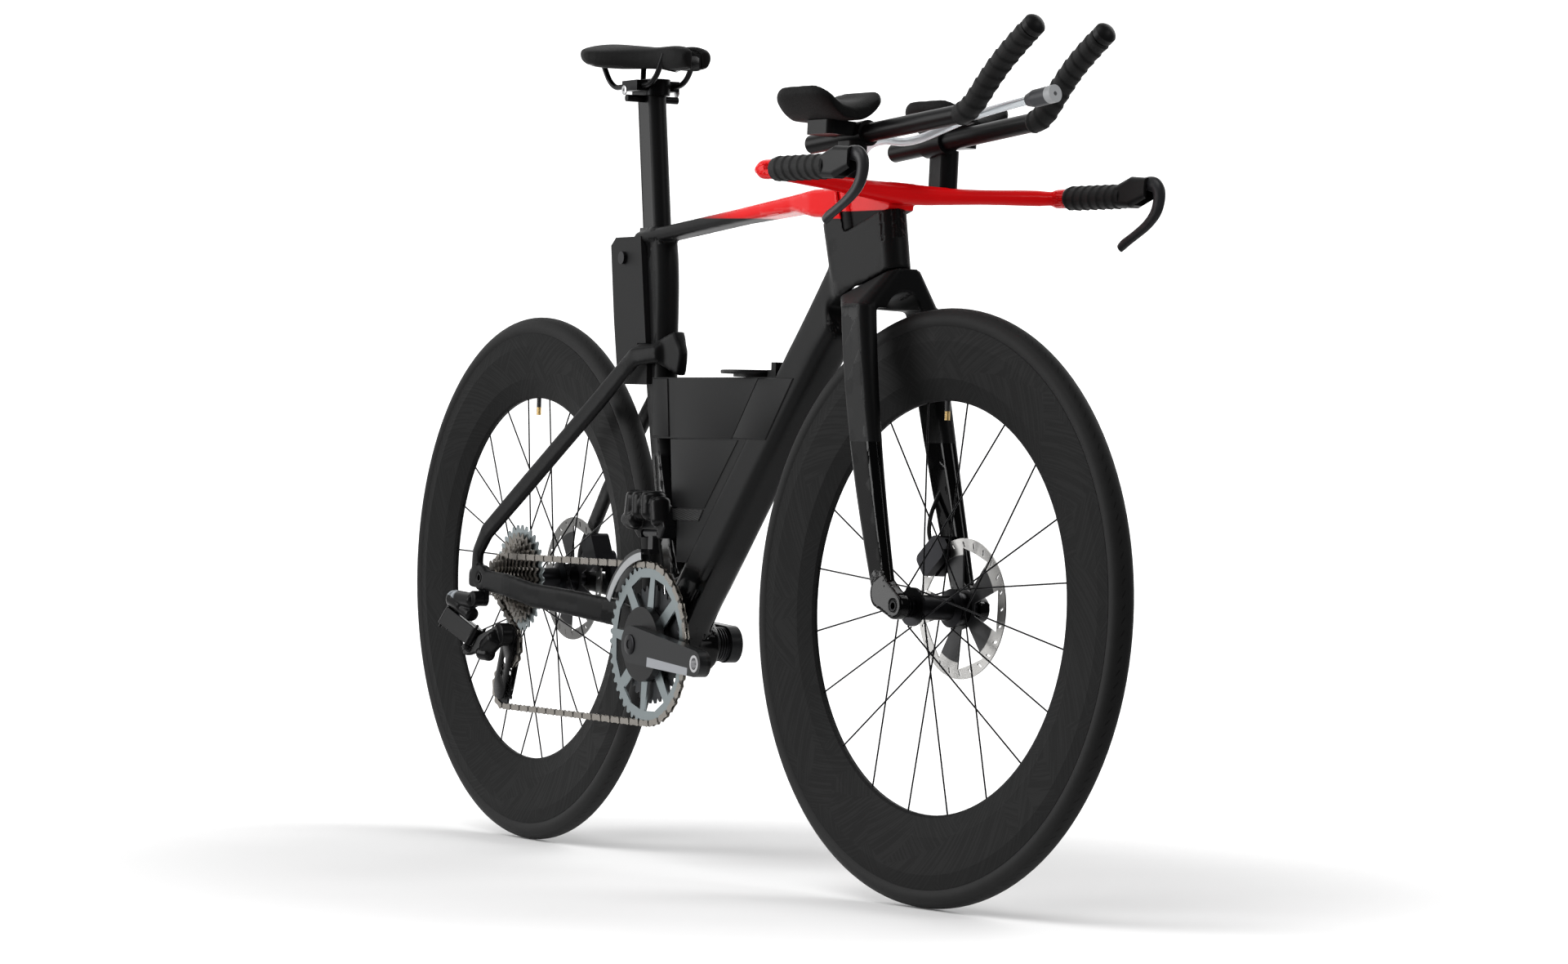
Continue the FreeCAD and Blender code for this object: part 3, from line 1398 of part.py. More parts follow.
def make_fork():
    """Crown, two blades and the steerer tube."""
    gap = size("fork_crown_gap")
    top = size("head_low") - gap
    low_z = size("leg_top_height") - 4
    outer = size("leg_top_side") + size("leg_top_width") / 2
    front = size("leg_top_front")
    back = front - size("leg_top_chord")
    low = Part.Wire(rounded_plan(back, front, outer, low_z, 18))
    high = Part.Wire(rounded_plan_on_axis(top, -size("head_tail") + 20, size("head_nose_low"),
                                          size("head_nose_round") + 5, 16))
    crown = loft([low, high], True)
    leg = fork_leg()
    steerer_top = size("head_high") + gap + 20
    steerer = tube(on_steerer(top - 10), on_steerer(steerer_top), size("steerer_radius"),
                   size("steerer_radius") - 2)
    arch = size("crown_arch_width") / 2
    wheel_room = rod(FRONT_AXLE - LEFT * arch, FRONT_AXLE + LEFT * arch,
                     size("tyre_radius") + size("crown_tyre_gap"))
    rim = top - size("crown_arch_depth") - arch
    behind = size("steerer_radius") + 4
    vault = rod(on_steerer(rim, behind), on_steerer(rim, 200), arch)
    under = [(0, behind), (0, 200), (-150, 200), (-150, behind)]
    front_room = prism(polygon([on_steerer(rim + drop, ahead) for drop, ahead in under]), LEFT * (2 * arch))
    axle_hole = rod(FRONT_AXLE - LEFT * 100, FRONT_AXLE + LEFT * 100, size("axle_radius"))
    hub_room = rod(FRONT_AXLE - LEFT * (size("front_dropout_gap") / 2),
                   FRONT_AXLE + LEFT * (size("front_dropout_gap") / 2), 30)
    body = joined([crown, leg, mirrored(leg)]).cut([wheel_room, vault, front_room, axle_hole, hub_room])
    fork = joined([biggest(body), steerer])
    keep("fork", fork, STEERED)
    half = size("front_dropout_gap") / 2 + size("leg_low_width")
    axle = tube(FRONT_AXLE - LEFT * half, FRONT_AXLE + LEFT * half, size("axle_radius"),
                size("axle_bore_radius"))
    keep("front_axle", axle, STEERED)
    make_front_brake(fork)


def rounded_plan(back, front, half_width, z, edge):
    """A level outline with rounded corners."""
    corners = [point(front, half_width, z), point(back, half_width, z), point(back, -half_width, z),
               point(front, -half_width, z)]
    return rounded_corners(corners, edge)


def rounded_plan_on_axis(height, back, front, half_width, edge):
    """The same outline square to the steering axis."""
    corners = [on_steerer(height, front, half_width), on_steerer(height, back, half_width),
               on_steerer(height, back, -half_width), on_steerer(height, front, -half_width)]
    return rounded_corners(corners, edge)


def rounded_corners(corners, edge):
    """Edges of a closed outline whose corners are arcs."""
    count = len(corners)
    starts = []
    edges = []
    for index, corner in enumerate(corners):
        inward = (corners[index - 1] - corner).normalize()
        outward = (corners[(index + 1) % count] - corner).normalize()
        start = corner + inward * edge
        end = corner + outward * edge
        middle = corner + (inward + outward) * (edge * (1 - math.sqrt(0.5)))
        starts.append((start, middle, end))
    for index, (start, middle, end) in enumerate(starts):
        edges.append(Part.Arc(start, middle, end).toShape())
        edges.append(Part.LineSegment(end, starts[(index + 1) % count][0]).toShape())
    return edges


def make_front_brake(fork):
    """The front caliper behind the left blade, and its short hose into the blade."""
    disc = size("front_dropout_gap") / 2 - size("rotor_inset")
    centre = polar(FRONT_AXLE, size("rotor_radius") - 4, 130)
    body = caliper(disc, centre, 90 - 130)
    foot = Part.makeBox(26, 14, 16, point(centre.x - 2, disc + 8, centre.z - 4))
    whole = biggest(joined([body, foot]).cut(fork))
    keep("front_caliper", whole, STEERED)
    exit_place = centre + point(-14, disc, 12)
    route = [exit_place, exit_place + point(-7, 0, 14), exit_place + point(-12, 5, 34),
             exit_place + point(-10, 14, 58),
             exit_place + point(0, 22, 78)]
    hose = pipe(route, size("hose_radius")).cut([whole, fork])
    keep("front_brake_hose", biggest(hose), STEERED)


# Cockpit

def bar_wing():
    """The aero wing of the base bar, rising and sweeping ahead towards its ends."""
    half = size("bar_half_width")
    front = size("bar_front")
    chord = size("bar_chord")
    thick = size("bar_thickness")
    low = size("bar_height") - 13
    rise = size("horn_height") - low
    stations = ((0, 0, 1.04, 0, 1.35), (0.33, 3, 1, 0.2, 1.05), (0.85, 16, 0.94, 0.85, 1),
                (1 + size("horn_radius") / half, 24, 0.32, 1, 0.6))
    right = [(-share, *rest) for share, *rest in reversed(stations[1:])]
    sections = []
    for share, ahead, chord_share, rise_share, thick_share in right + list(stations):
        nose = point(front + ahead, half * share, low + rise * rise_share)
        tail = nose - AHEAD * (chord * chord_share)
        sections.append(teardrop(nose, tail, thick * thick_share / 2, 3, UP))
    return loft(sections)


def stem():
    """The round heel over the head tube and the neck to the wing."""
    low = size("head_high") + size("part_gap")
    heel = Part.makeCylinder(size("stem_heel_radius"), 200, on_steerer(low), STEER_UP)
    high = size("bar_height")
    front = size("bar_front") - 12
    lowest = on_steerer(low)
    foot = on_steerer(low, (front - lowest.x) / STEER_AHEAD.x)
    rear_top = lowest + STEER_UP * ((high - lowest.z) / STEER_UP.z)
    neck = side_plate([(rear_top.x, high), (front, high), (front, foot.z), (lowest.x, lowest.z)], 0,
                      size("stem_neck_width"))
    above = Part.makeBox(600, 400, 400, point(lowest.x - 300, -200, high))
    return joined([heel, neck]).cut(above)


def base_bar():
    half = size("bar_half_width")
    horns = []
    for side in (-half, half):
        elbow = point(size("bar_front") + 12, side, size("horn_height"))
        end = point(size("horn_front"), side, size("horn_height"))
        horns.append(rod(elbow, end, size("horn_radius")))
        horns.append(Part.makeSphere(size("horn_radius"), elbow))
    steerer_top = size("head_high") + size("fork_crown_gap") + 20
    steerer = rod(on_steerer(size("head_low")), on_steerer(steerer_top), size("steerer_radius"))
    return joined([bar_wing(), stem()] + horns).cut(steerer)


def extension_route():
    """The left aero extension's line, from behind the riser to the grip's end."""
    level = size("extension_height")
    side = size("riser_side")
    return [point(size("riser_place") - 86, side - 6, level), point(1080, side - 14, level + 27),
            point(1112, side - 15, level + 62), point(1144, side - 16, level + 91),
            point(1181, side - 16, level + 115)]


def make_cockpit():
    """Base bar, brake levers, risers, extensions, arm rests, pads and the drinking hose."""
    bar_shape = base_bar()
    keep("base_bar", bar_shape, STEERED)
    route = extension_route()
    extension = pipe(route, size("extension_radius")).cut(pipe(route, size("extension_bore")))
    keep("aero_extensions", both_sides(extension), STEERED)
    make_tape(route)
    make_levers()
    make_buttons(route)
    clamps = make_risers(bar_shape, route)
    make_arm_rests(clamps, route)
    make_drinking_hose()


def make_tape(route):
    """Tape over both horns and over the bent ends of both extensions."""
    half = size("bar_half_width")
    height = size("horn_height")
    start = point(size("bar_front") + 28, half, height)
    end = point(size("horn_front") - 2, half, height)
    grip = tube(start, end, size("horn_radius") + size("tape_thickness"), size("horn_radius"))
    core = pipe(route, size("extension_radius"))
    sleeve = pipe(route, size("extension_radius") + size("extension_tape")).cut(core)
    begin = size("extension_tape_start")
    bare = Part.makeBox(400, 200, 400, point(begin - 400, size("riser_side") - 100,
                                             size("extension_height") - 200))
    sleeve = sleeve.cut(bare)
    tape = Part.makeCompound([grip, mirrored(grip), sleeve, mirrored(sleeve)])
    keep("grip_tape", tape, STEERED)


def make_levers():
    """Lever bodies on the horns' ends and the sprung levers pinned in them."""
    half = size("bar_half_width")
    height = size("horn_height")
    start = size("horn_front")
    length = size("lever_body_length")
    wide = size("lever_body_width") / 2
    tall = size("lever_body_height")
    sections = [rounded_box_section(start, wide + 1, height - 13, height + 14, 8),
                rounded_box_section(start + 0.45 * length, wide, height - 14, height - 14 + tall, 7),
                rounded_box_section(start + length, wide - 1, height - 4, height - 16 + tall, 6)]
    body = loft(sections, True)
    pivot = point(start + length - 8, 0, height + 9)
    gap = size("part_gap")
    slot = Part.makeBox(60, size("lever_width") + 2 * gap, 60,
                        point(pivot.x - 12, -size("lever_width") / 2 - gap, height - 42))
    pin = rod(pivot - LEFT * (wide - 2), pivot + LEFT * (wide - 2), 2.5)
    body = joined([body.cut(slot), pin])
    places = [pivot, pivot + point(26, 0, -8), pivot + point(26, 0, -40), pivot + point(2, 0, -64),
              pivot + point(-40, 0, -75)]
    blade = strap(places, [7, 7.5, 6.5, 5.5, 5], size("lever_width"))
    blade = blade.cut(rod(pivot - LEFT * 20, pivot + LEFT * 20, 2.5 + size("running_gap")))
    bodies = []
    for name, side in (("right", -half), ("left", half)):
        placed = body.copy()
        placed.translate(LEFT * side)
        bodies.append(placed)
        lever = blade.copy()
        lever.translate(LEFT * side)
        keep("brake_lever_" + name, lever, STEERED)
    keep("lever_bodies", Part.makeCompound(bodies), STEERED)


def make_buttons(route):
    """Domed shift buttons that press into the extensions' ends."""
    end = route[-1]
    along = (route[-1] - route[-2]).normalize()
    radius = size("extension_radius") + size("extension_tape") - 1
    lift = size("button_travel") + size("part_gap")
    base = end + along * lift
    dome = Part.makeSphere(radius * 1.15, base + along * (7 - radius * 0.55))
    head = joined([rod(base, base + along * 6, radius), dome.common(rod(base, base + along * 30, radius))])
    stem_shape = rod(base - along * 16, base + along, size("extension_bore") - size("running_gap"))
    button = joined([head, stem_shape])
    keep("shift_button_left", button, STEERED)
    keep("shift_button_right", mirrored(button), STEERED)


def make_risers(bar_shape, route):
    """Spacer towers on the bar with a round clamp for each extension."""
    place = point(size("riser_place"), size("riser_side"), 0)
    half = size("riser_length") / 2
    top = size("extension_height")
    low = size("bar_height") - 30
    plan = teardrop(place + AHEAD * half, place - AHEAD * half, size("riser_width") / 2,
                    size("riser_width") / 2 - 4, LEFT)
    tower = Part.Face(plan).extrude(UP * (top - low))
    tower.translate(UP * low)
    along = (route[1] - route[0]).normalize()
    middle = route[0] + along * (size("riser_place") - route[0].x)
    reach = along * (size("clamp_length") / 2)
    clamp = rod(middle - reach, middle + reach, size("extension_radius") + size("clamp_wall"))
    hole = rod(route[0] - along * 40, middle + along * 200, size("extension_radius"))
    riser = biggest(joined([tower, clamp]).cut([hole, bar_shape]))
    keep("riser_towers", both_sides(riser), STEERED)
    return riser


def make_arm_rests(riser, route):
    """Brackets over the clamps and the arm pads on them."""
    gap = size("part_gap")
    under = size("pad_height") - gap / 2
    side = size("pad_side")
    x = size("pad_place")
    thickness = size("arm_rest_thickness")
    corners = [point(x + 26, side + 16, under - thickness), point(x - 22, side + 16, under - thickness),
               point(x - 22, size("riser_side"), under - thickness),
               point(x + 26, size("riser_side"), under - thickness)]
    plate = Part.Face(Part.Wire(rounded_corners(corners, 8))).extrude(UP * thickness)
    hole = pipe(route, size("extension_radius") + gap)
    bracket = biggest(plate.cut([riser, hole]))
    keep("arm_rest_brackets", both_sides(bracket), STEERED)
    pad = arm_pad()
    keep("arm_pads", both_sides(pad), STEERED)


def pad_section(x, half_width, low, thickness, lift):
    """A trough section: the base flat under a crowned top, with both edges turned up."""
    side = size("pad_side")
    flat = half_width * 0.3
    outer_low = point(x, side + half_width, low + lift)
    inner_low = point(x, side - half_width, low + lift)
    outer_high = point(x, side + half_width - 2, low + lift + thickness * 0.6)
    inner_high = point(x, side - half_width + 2, low + lift + thickness * 0.6)
    edges = (
        Part.LineSegment(point(x, side - flat, low), point(x, side + flat, low)),
        Part.Arc(point(x, side + flat, low), point(x, side + half_width * 0.72, low + lift * 0.42),
                 outer_low),
        Part.Arc(outer_low, point(x, side + half_width + 1.5, low + lift + thickness * 0.3), outer_high),
        Part.Arc(outer_high, point(x, side, low + thickness), inner_high),
        Part.Arc(inner_high, point(x, side - half_width - 1.5, low + lift + thickness * 0.3), inner_low),
        Part.Arc(inner_low, point(x, side - half_width * 0.72, low + lift * 0.42),
                 point(x, side - flat, low)),
    )
    return Part.Wire([edge.toShape() for edge in edges])


def arm_pad():
    """A crowned pad whose sides and ends draw in."""
    half = size("pad_length") / 2
    sections = []
    for share, width_share, thick_share in ((-1, 0.7, 0.55), (-0.8, 0.9, 0.9), (-0.1, 1, 1),
                                            (0.75, 0.94, 0.92), (1, 0.74, 0.55)):
        sections.append(pad_section(size("pad_place") + half * share, size("pad_width") / 2 * width_share,
                                    size("pad_height"), size("pad_thickness") * thick_share,
                                    size("pad_lift") * width_share))
    return loft(sections)


HOSE_ROUTE = (
    (802, 0, 484.2), (803, 0, 502), (814, -1, 520), (834, -4, 531), (872, -9, 533), (912, -14, 528),
    (956, -19, 532),
    (1002, -24, 541), (1048, -26, 551), (1096, -22, 560), (1142, -17, 567),
)


def make_drinking_hose():
    """The drinking hose out of the stem, its clip on the right extension, and the bite valve at its end."""
    route = [point(*place) for place in HOSE_ROUTE]
    path, radii = bent_path(route)
    print("drinking hose:", round(path.Length), "mm long, bend radii", [round(radius) for radius in radii])
    hose = pipe(route, size("drink_hose_radius"))
    print("drinking hose volume over section times length:",
          round(hose.Volume / (math.pi * size("drink_hose_radius") ** 2 * path.Length), 4))
    keep("drinking_hose", hose, STEERED)
    end = route[-1]
    along = (route[-1] - route[-2]).normalize()
    radius = size("bite_valve_radius")
    length = size("bite_valve_length")
    valve = joined([Part.makeCone(radius * 0.72, radius, length * 0.25, end, along),
                    rod(end + along * (length * 0.25), end + along * length, radius)])
    keep("bite_valve", valve.cut(rod(end + along * (length * 0.6), end + along * (length + 1), 2.5)),
         STEERED)
    clip_place = route[8]
    clip_run = (route[9] - route[7]).normalize()
    ring = rod(clip_place - clip_run * 6, clip_place + clip_run * 6, size("drink_hose_radius") + 3)
    extension = mirrored(pipe(extension_route(), size("extension_radius") + size("extension_tape")))
    reach = clip_place - LEFT * 24
    arm = rod(clip_place, reach, 4)
    clip = joined([ring, arm]).cut([hose, extension])
    keep("hose_clip", biggest(clip), STEERED)


# The whole bike

def main():
    make_wheels()
    make_frame()
    frame = NODES["front_triangle"].Shape
    tail = NODES["rear_triangle"].Shape
    make_storage(frame, tail)
    make_seat()
    make_cassette()
    make_rings()
    make_cranks()
    make_chain()
    make_front_derailleur(frame, tail)
    make_rear_derailleur()
    make_rear_brake(tail)
    make_fork()
    make_cockpit()
    doc.recompute()
    for thing in doc.Objects:
        if "Invalid" in thing.State or "Error" in thing.State:
            raise RuntimeError(f"{thing.Label} failed: {thing.State}")
    for label, thing in NODES.items():
        if thing.Shape.isNull() or not thing.Shape.isValid():
            raise RuntimeError(f"{label} has no sound shape")
    os.makedirs("parts", exist_ok=True)
    for label, thing in NODES.items():
        thing.Shape.exportStep(f"parts/{label}.step")
    print(len(NODES), "sub-parts written")


main()
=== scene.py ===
import json
import math

import bmesh
import bpy
from bpy.props import FloatProperty, FloatVectorProperty, IntProperty, PointerProperty
from mathutils import Matrix, Quaternion, Vector


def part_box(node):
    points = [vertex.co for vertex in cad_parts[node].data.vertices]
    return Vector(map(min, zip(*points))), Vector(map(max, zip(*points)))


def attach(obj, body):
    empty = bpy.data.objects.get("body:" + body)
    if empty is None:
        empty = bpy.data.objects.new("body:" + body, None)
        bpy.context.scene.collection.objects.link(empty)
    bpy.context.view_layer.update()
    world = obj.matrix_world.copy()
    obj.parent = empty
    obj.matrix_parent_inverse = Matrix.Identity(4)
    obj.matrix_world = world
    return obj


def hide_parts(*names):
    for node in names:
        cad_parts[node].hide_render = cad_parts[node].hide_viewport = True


bl_info = {
    "name": "Time trial bike",
    "version": (1, 0, 0),
    "blender": (4, 5, 0),
    "location": "View3D > Sidebar > Bike",
    "description": "Dresses the packed time trial bike with its paint, carbon, rubber, metal and soft pieces",
    "category": "Object",
}

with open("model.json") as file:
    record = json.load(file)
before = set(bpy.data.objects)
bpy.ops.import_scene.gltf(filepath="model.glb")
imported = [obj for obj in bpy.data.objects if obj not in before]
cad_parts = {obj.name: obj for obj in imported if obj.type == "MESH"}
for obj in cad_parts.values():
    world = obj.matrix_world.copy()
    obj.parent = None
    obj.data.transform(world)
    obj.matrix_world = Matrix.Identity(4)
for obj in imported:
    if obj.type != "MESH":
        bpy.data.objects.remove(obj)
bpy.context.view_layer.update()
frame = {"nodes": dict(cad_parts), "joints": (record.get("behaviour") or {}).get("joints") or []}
NODES = frame["nodes"]
JOINTS = {joint["name"]: joint for joint in frame["joints"]}
PIVOTS = {name: Vector(joint["pos_m"]) for name, joint in JOINTS.items() if "pos_m" in joint}
STEER_AXIS = Vector(JOINTS["steering"]["axis"])
STEER_POINT = PIVOTS["steering"]
BRACKET = PIVOTS["crank_spin"]
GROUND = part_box("rear_tyre")[0].z
LEFT = Vector((0, 1, 0))
ORIGIN = (0, 0, 0)

# The photograph's camera
CAMERA_TARGET = Vector((0.650, 0, 0.136))
CAMERA_DISTANCE = 6.004
CAMERA_SIDE, CAMERA_LIFT, CAMERA_ROLL = (math.radians(degrees) for degrees in (29.57, 0.41, 1.26))
SENSOR_WIDTH = 36.0
FOCAL_PIXELS, PHOTO_PIXELS = 6183, 1920
# Lamps: name, place, aim, size, watts
LAMPS = (
    ("key_light", (0.6, -2.2, 3.6), (0.55, 0, 0.1), 2.6, 62),
    ("front_light", (4.4, 1.6, 2.4), (0.7, 0, 0.2), 1.2, 22),
    ("side_light", (-1.6, -3.4, 1.0), (0.3, 0, 0.1), 2.4, 85),
    ("back_light", (0.2, 3.0, 2.6), (0.5, 0, 0.2), 2.6, 50),
)
TO_CAMERA = (0.87, -0.49, 0)
FLOOR_SIZE = 9.0
FLOOR_GAP = 0.0004
FLOOR_FADE = (0.55, 1.6)

# Routes in millimetres, before the front end is turned
HOSE_ROUTE = (
    (802, 0, 484.2), (803, 0, 502), (814, -1, 520), (834, -4, 531), (872, -9, 533), (912, -14, 528),
    (956, -19, 532), (1002, -24, 541), (1048, -26, 551), (1096, -22, 560), (1142, -17, 567),
)
EXTENSION_ROUTE = ((1064, 52.5, 551.4), (1080, 52, 553), (1112, 51, 588), (1144, 50, 617), (1181, 50, 641))
HORN_ROUTE = ((940.5, 210, 481), (967, 210, 481), (1000, 210, 481), (1041.5, 210, 481))
# Each bar horn's tail: tip, root and radius on the left side
HORN_TAIL = ((917, 210, 482), (935, 210, 481), 9.5)
# Brake blade from its pivot: forward, up, radius
LEVER_STEPS = (
    (-10, 4, 6.5), (4, 5, 9.0), (17, 3, 9.6), (24, -4, 9.6), (25, -14, 9.2), (22, -26, 8.6), (14, -36, 7.6),
    (2, -45, 6.8), (-13, -53, 6.2), (-27, -60, 6.2), (-37, -65, 6.8), (-42, -69, 5.6),
)
LEVER_WIDTH = 0.62
# Rounded lumps of the derailleurs in millimetres: start, end, radius
MOTOR = (
    ((346, -38, 80), (352, -38, 112), 15), ((366, -36, 92), (366, -36, 112), 16),
    ((386, -34, 92), (386, -34, 112), 16), ((406, -34, 84), (402, -34, 106), 13),
    ((340, -44, 84), (362, -45, 84), 10), ((352, -42, 104), (392, -40, 106), 9),
)
BATTERY = (
    ((-60, -87, -29.5), (-34, -85, -37.5), 12), ((-56, -88, -33), (-14, -84, -48), 9.5),
    ((-48, -88, -28), (-6, -86, -30), 10),
)
CLUTCH = (((18, -75, -89), (34, -73, -78), 12), ((10, -80, -97), (24, -76, -98), 9))
# Holes of the tension cage: share of the way between the pulleys, radius in millimetres
CAGE_HOLES = ((0.36, 4.5), (0.52, 4.0), (0.67, 3.5))
# Panels of the storage box: how proud they stand, and their (x, z) outlines
BOX_PANELS = {
    "box_front_panel": (0.0016, ((0.628, 0.2588), (0.711, 0.2588), (0.6465, 0.185), (0.566, 0.187))),
    "box_rear_panel": (0.0014, ((0.360, 0.2588), (0.398, 0.2588), (0.405, 0.187), (0.362, 0.188))),
    "box_middle_panel": (0.0006, ((0.4005, 0.2588), (0.625, 0.2588), (0.563, 0.186), (0.4075, 0.186))),
    "box_lower_panel": (0.0008, ((0.4085, 0.1845), (0.579, 0.1845), (0.4985, 0.101), (0.4165, 0.101))),
    "box_pull_tab": (0.0014, ((0.4165, 0.0995), (0.4965, 0.0995), (0.485, 0.085), (0.419, 0.085))),
}
# The fill cap's lip: distance from the hinge, radius, height and depth of its middle below the top
LIP_REACH, LIP_RADIUS, LIP_HEIGHT, LIP_DROP = 0.049, 0.0455, 0.0045, 0.0024
# Bolt heads as radius and height, and the left crank's ribs
CRANK_CAP = (0.0125, 0.0016)
CRANK_LENGTH, EYE_RADIUS = 0.165, 0.0105
CLAMP_BOLT = (0.0062, 0.002)
RIB_COUNT, RIB_START, RIB_STEP, RIB_RADIUS = 4, 0.045, 0.0035, 0.0015
HORN_TAPE_RADIUS, EXTENSION_TAPE_RADIUS = 0.0134, 0.0124
RIM_MIDDLE, CARRIER_RADIUS, SPIDER_RADIUS = 0.275, 0.061, 0.043
# Chain: teeth it runs on, and each link's half gap and end radius
RING_TEETH, SPROCKET_TEETH, PULLEY_TEETH = 48, 14, 12
OUTER_LINK = (0.0021, 0.0046)
INNER_LINK = (0.0012, 0.0040)
# The foam's swelling as cloth
FOAM_STEPS = 12
FOAM_CLOTH = {"use_pressure": True, "uniform_pressure_force": 3.0, "tension_stiffness": 40,
              "compression_stiffness": 40, "bending_stiffness": 10}

# Edges flatter than these are shaded smooth, in degrees, and sharper ones than the last are bevelled
ROUND_EDGE, CUT_EDGE, PANEL_EDGE, BOLT_EDGE, BEVEL_EDGE = 32, 25, 40, 35, 50
MERGE_GAP = 0.00002

# Fixed colours of small dark parts, and how strongly surfaces mirror
NEAR_BLACK = (0.012, 0.012, 0.013)
BOLT_BLACK = (0.02, 0.02, 0.022)
RAIL_BLACK = (0.02, 0.02, 0.021)
AXLE_BLACK = (0.018, 0.018, 0.019)
CALIPER_BLACK = (0.016, 0.016, 0.018)
HUB_BLACK = (0.022, 0.022, 0.024)
# Lighter grey of the rear storage box: partly its greyer side, partly painted light for the brighter light
# its side catches
BOX_GREY_WITH_PAINTED_LIGHT = (0.0105, 0.0106, 0.011)
LATCH_GREY = (0.05, 0.05, 0.052)
SPIDER_GREY = (0.03, 0.03, 0.032)
SMALL_RING_GREY = (0.06, 0.062, 0.066)
CARBON_SHINE, PLASTIC_SHINE = 0.13, 0.22
# Heights of masked paint edges, and half the width they blur over
FORK_PAINT_EDGE, BAR_PAINT_EDGE, PAINT_BLUR = 0.186, 0.4520, 0.0008


# Sizes and colours that a user would change

def length(label, text, default):
    return FloatProperty(name=label, description=text, default=default, min=0.0, unit="LENGTH", precision=5)


def colour(label, text, default):
    return FloatVectorProperty(
        name=label, description=text, default=default, size=3, min=0, max=1, subtype="COLOR")


class BikeSizes(bpy.types.PropertyGroup):
    steer_rest: FloatProperty(name="Steering at rest", default=math.radians(6.26), subtype="ANGLE",
                              description="How far the front end stands turned to the left")
    frame_grid: length("Frame grid", "Voxel size of the moulded frame, fork and bar skins", 0.0026)
    soft_grid: length("Pad grid", "Voxel size of the saddle and arm pads", 0.0035)
    pad_swell: length("Pad swell", "Most that the foam may swell", 0.0025)
    hose_radius: length("Hose radius", "Outer radius of the drinking hose", 0.005)
    hose_length: length("Hose length", "Real length of the drinking hose", 0.374)
    tape_pitch: length("Tape pitch", "Advance of one turn of the grip tape", 0.0145)
    tape_lift: length("Tape lift", "Height of each overlap of the tape", 0.0014)
    chain_pitch: length("Chain pitch", "Pin to pin length of one link", 0.0127)
    chain_line: length("Chain line", "How far the chain runs right of the middle", 0.0475)
    bolt_sides: IntProperty(name="Bolt sides", description="Facets round each bolt head", default=24, min=6)


class BikeColours(bpy.types.PropertyGroup):
    satin: colour("Satin carbon", "Satin charcoal of frame and fork", (0.0046, 0.0047, 0.0050))
    gloss: colour("Gloss black", "Gloss black of the lower frame and fork", (0.0008, 0.0008, 0.0009))
    red: colour("Lacquer red", "Red of the bar and the top tube", (0.78, 0.004, 0.006))
    rim: colour("Rim carbon", "Dark weave of the rims", (0.0062, 0.0063, 0.0064))
    rubber: colour("Rubber", "Tyres and tape", (0.0085, 0.0085, 0.0086))
    plastic: colour("Moulded black", "Levers, lid and small housings", (0.0050, 0.0050, 0.0053))
    steel: colour("Bright steel", "Rotors", (0.36, 0.355, 0.345))
    chain: colour("Chain", "Warm plated steel of the chain and sprockets", (0.44, 0.41, 0.37))
    ring: colour("Chainring", "Grey-blue of the large chainring and sprocket", (0.37, 0.42, 0.43))
    crank: colour("Crank", "Dark grey of the crank arms", (0.012, 0.0126, 0.0135))
    silver: colour("Silver", "Small bright fittings", (0.66, 0.66, 0.67))
    brass: colour("Brass", "Valve cores", (0.72, 0.50, 0.21))
    hose: colour("Clear hose", "Milky clear tube", (0.80, 0.84, 0.87))
    foam: colour("Foam", "Arm pads and saddle cover", (0.0030, 0.0030, 0.0031))


def sizes():
    return bpy.context.scene.bike_sizes


def colours():
    return bpy.context.scene.bike_colours


# Shader nodes as expressions

def maths(operation, swapped=False):
    """A method that adds one maths node."""
    def method(self, other=0.0):
        first, second = (other, self) if swapped else (self, other)
        return self.graph.node("Math", {0: first, 1: second}, operation=operation)
    return method


class Field:
    """A value that changes over a surface."""

    def __init__(self, graph, socket):
        self.graph = graph
        self.socket = socket

    __add__ = __radd__ = maths("ADD")
    __sub__ = maths("SUBTRACT")
    __rsub__ = maths("SUBTRACT", swapped=True)
    __mul__ = maths("MULTIPLY")
    __truediv__ = maths("DIVIDE")
    root = maths("SQRT")
    fraction = maths("FRACT")
    size = maths("ABSOLUTE")
    sine = maths("SINE")
    larger = maths("MAXIMUM")
    angle = maths("ARCTAN2")


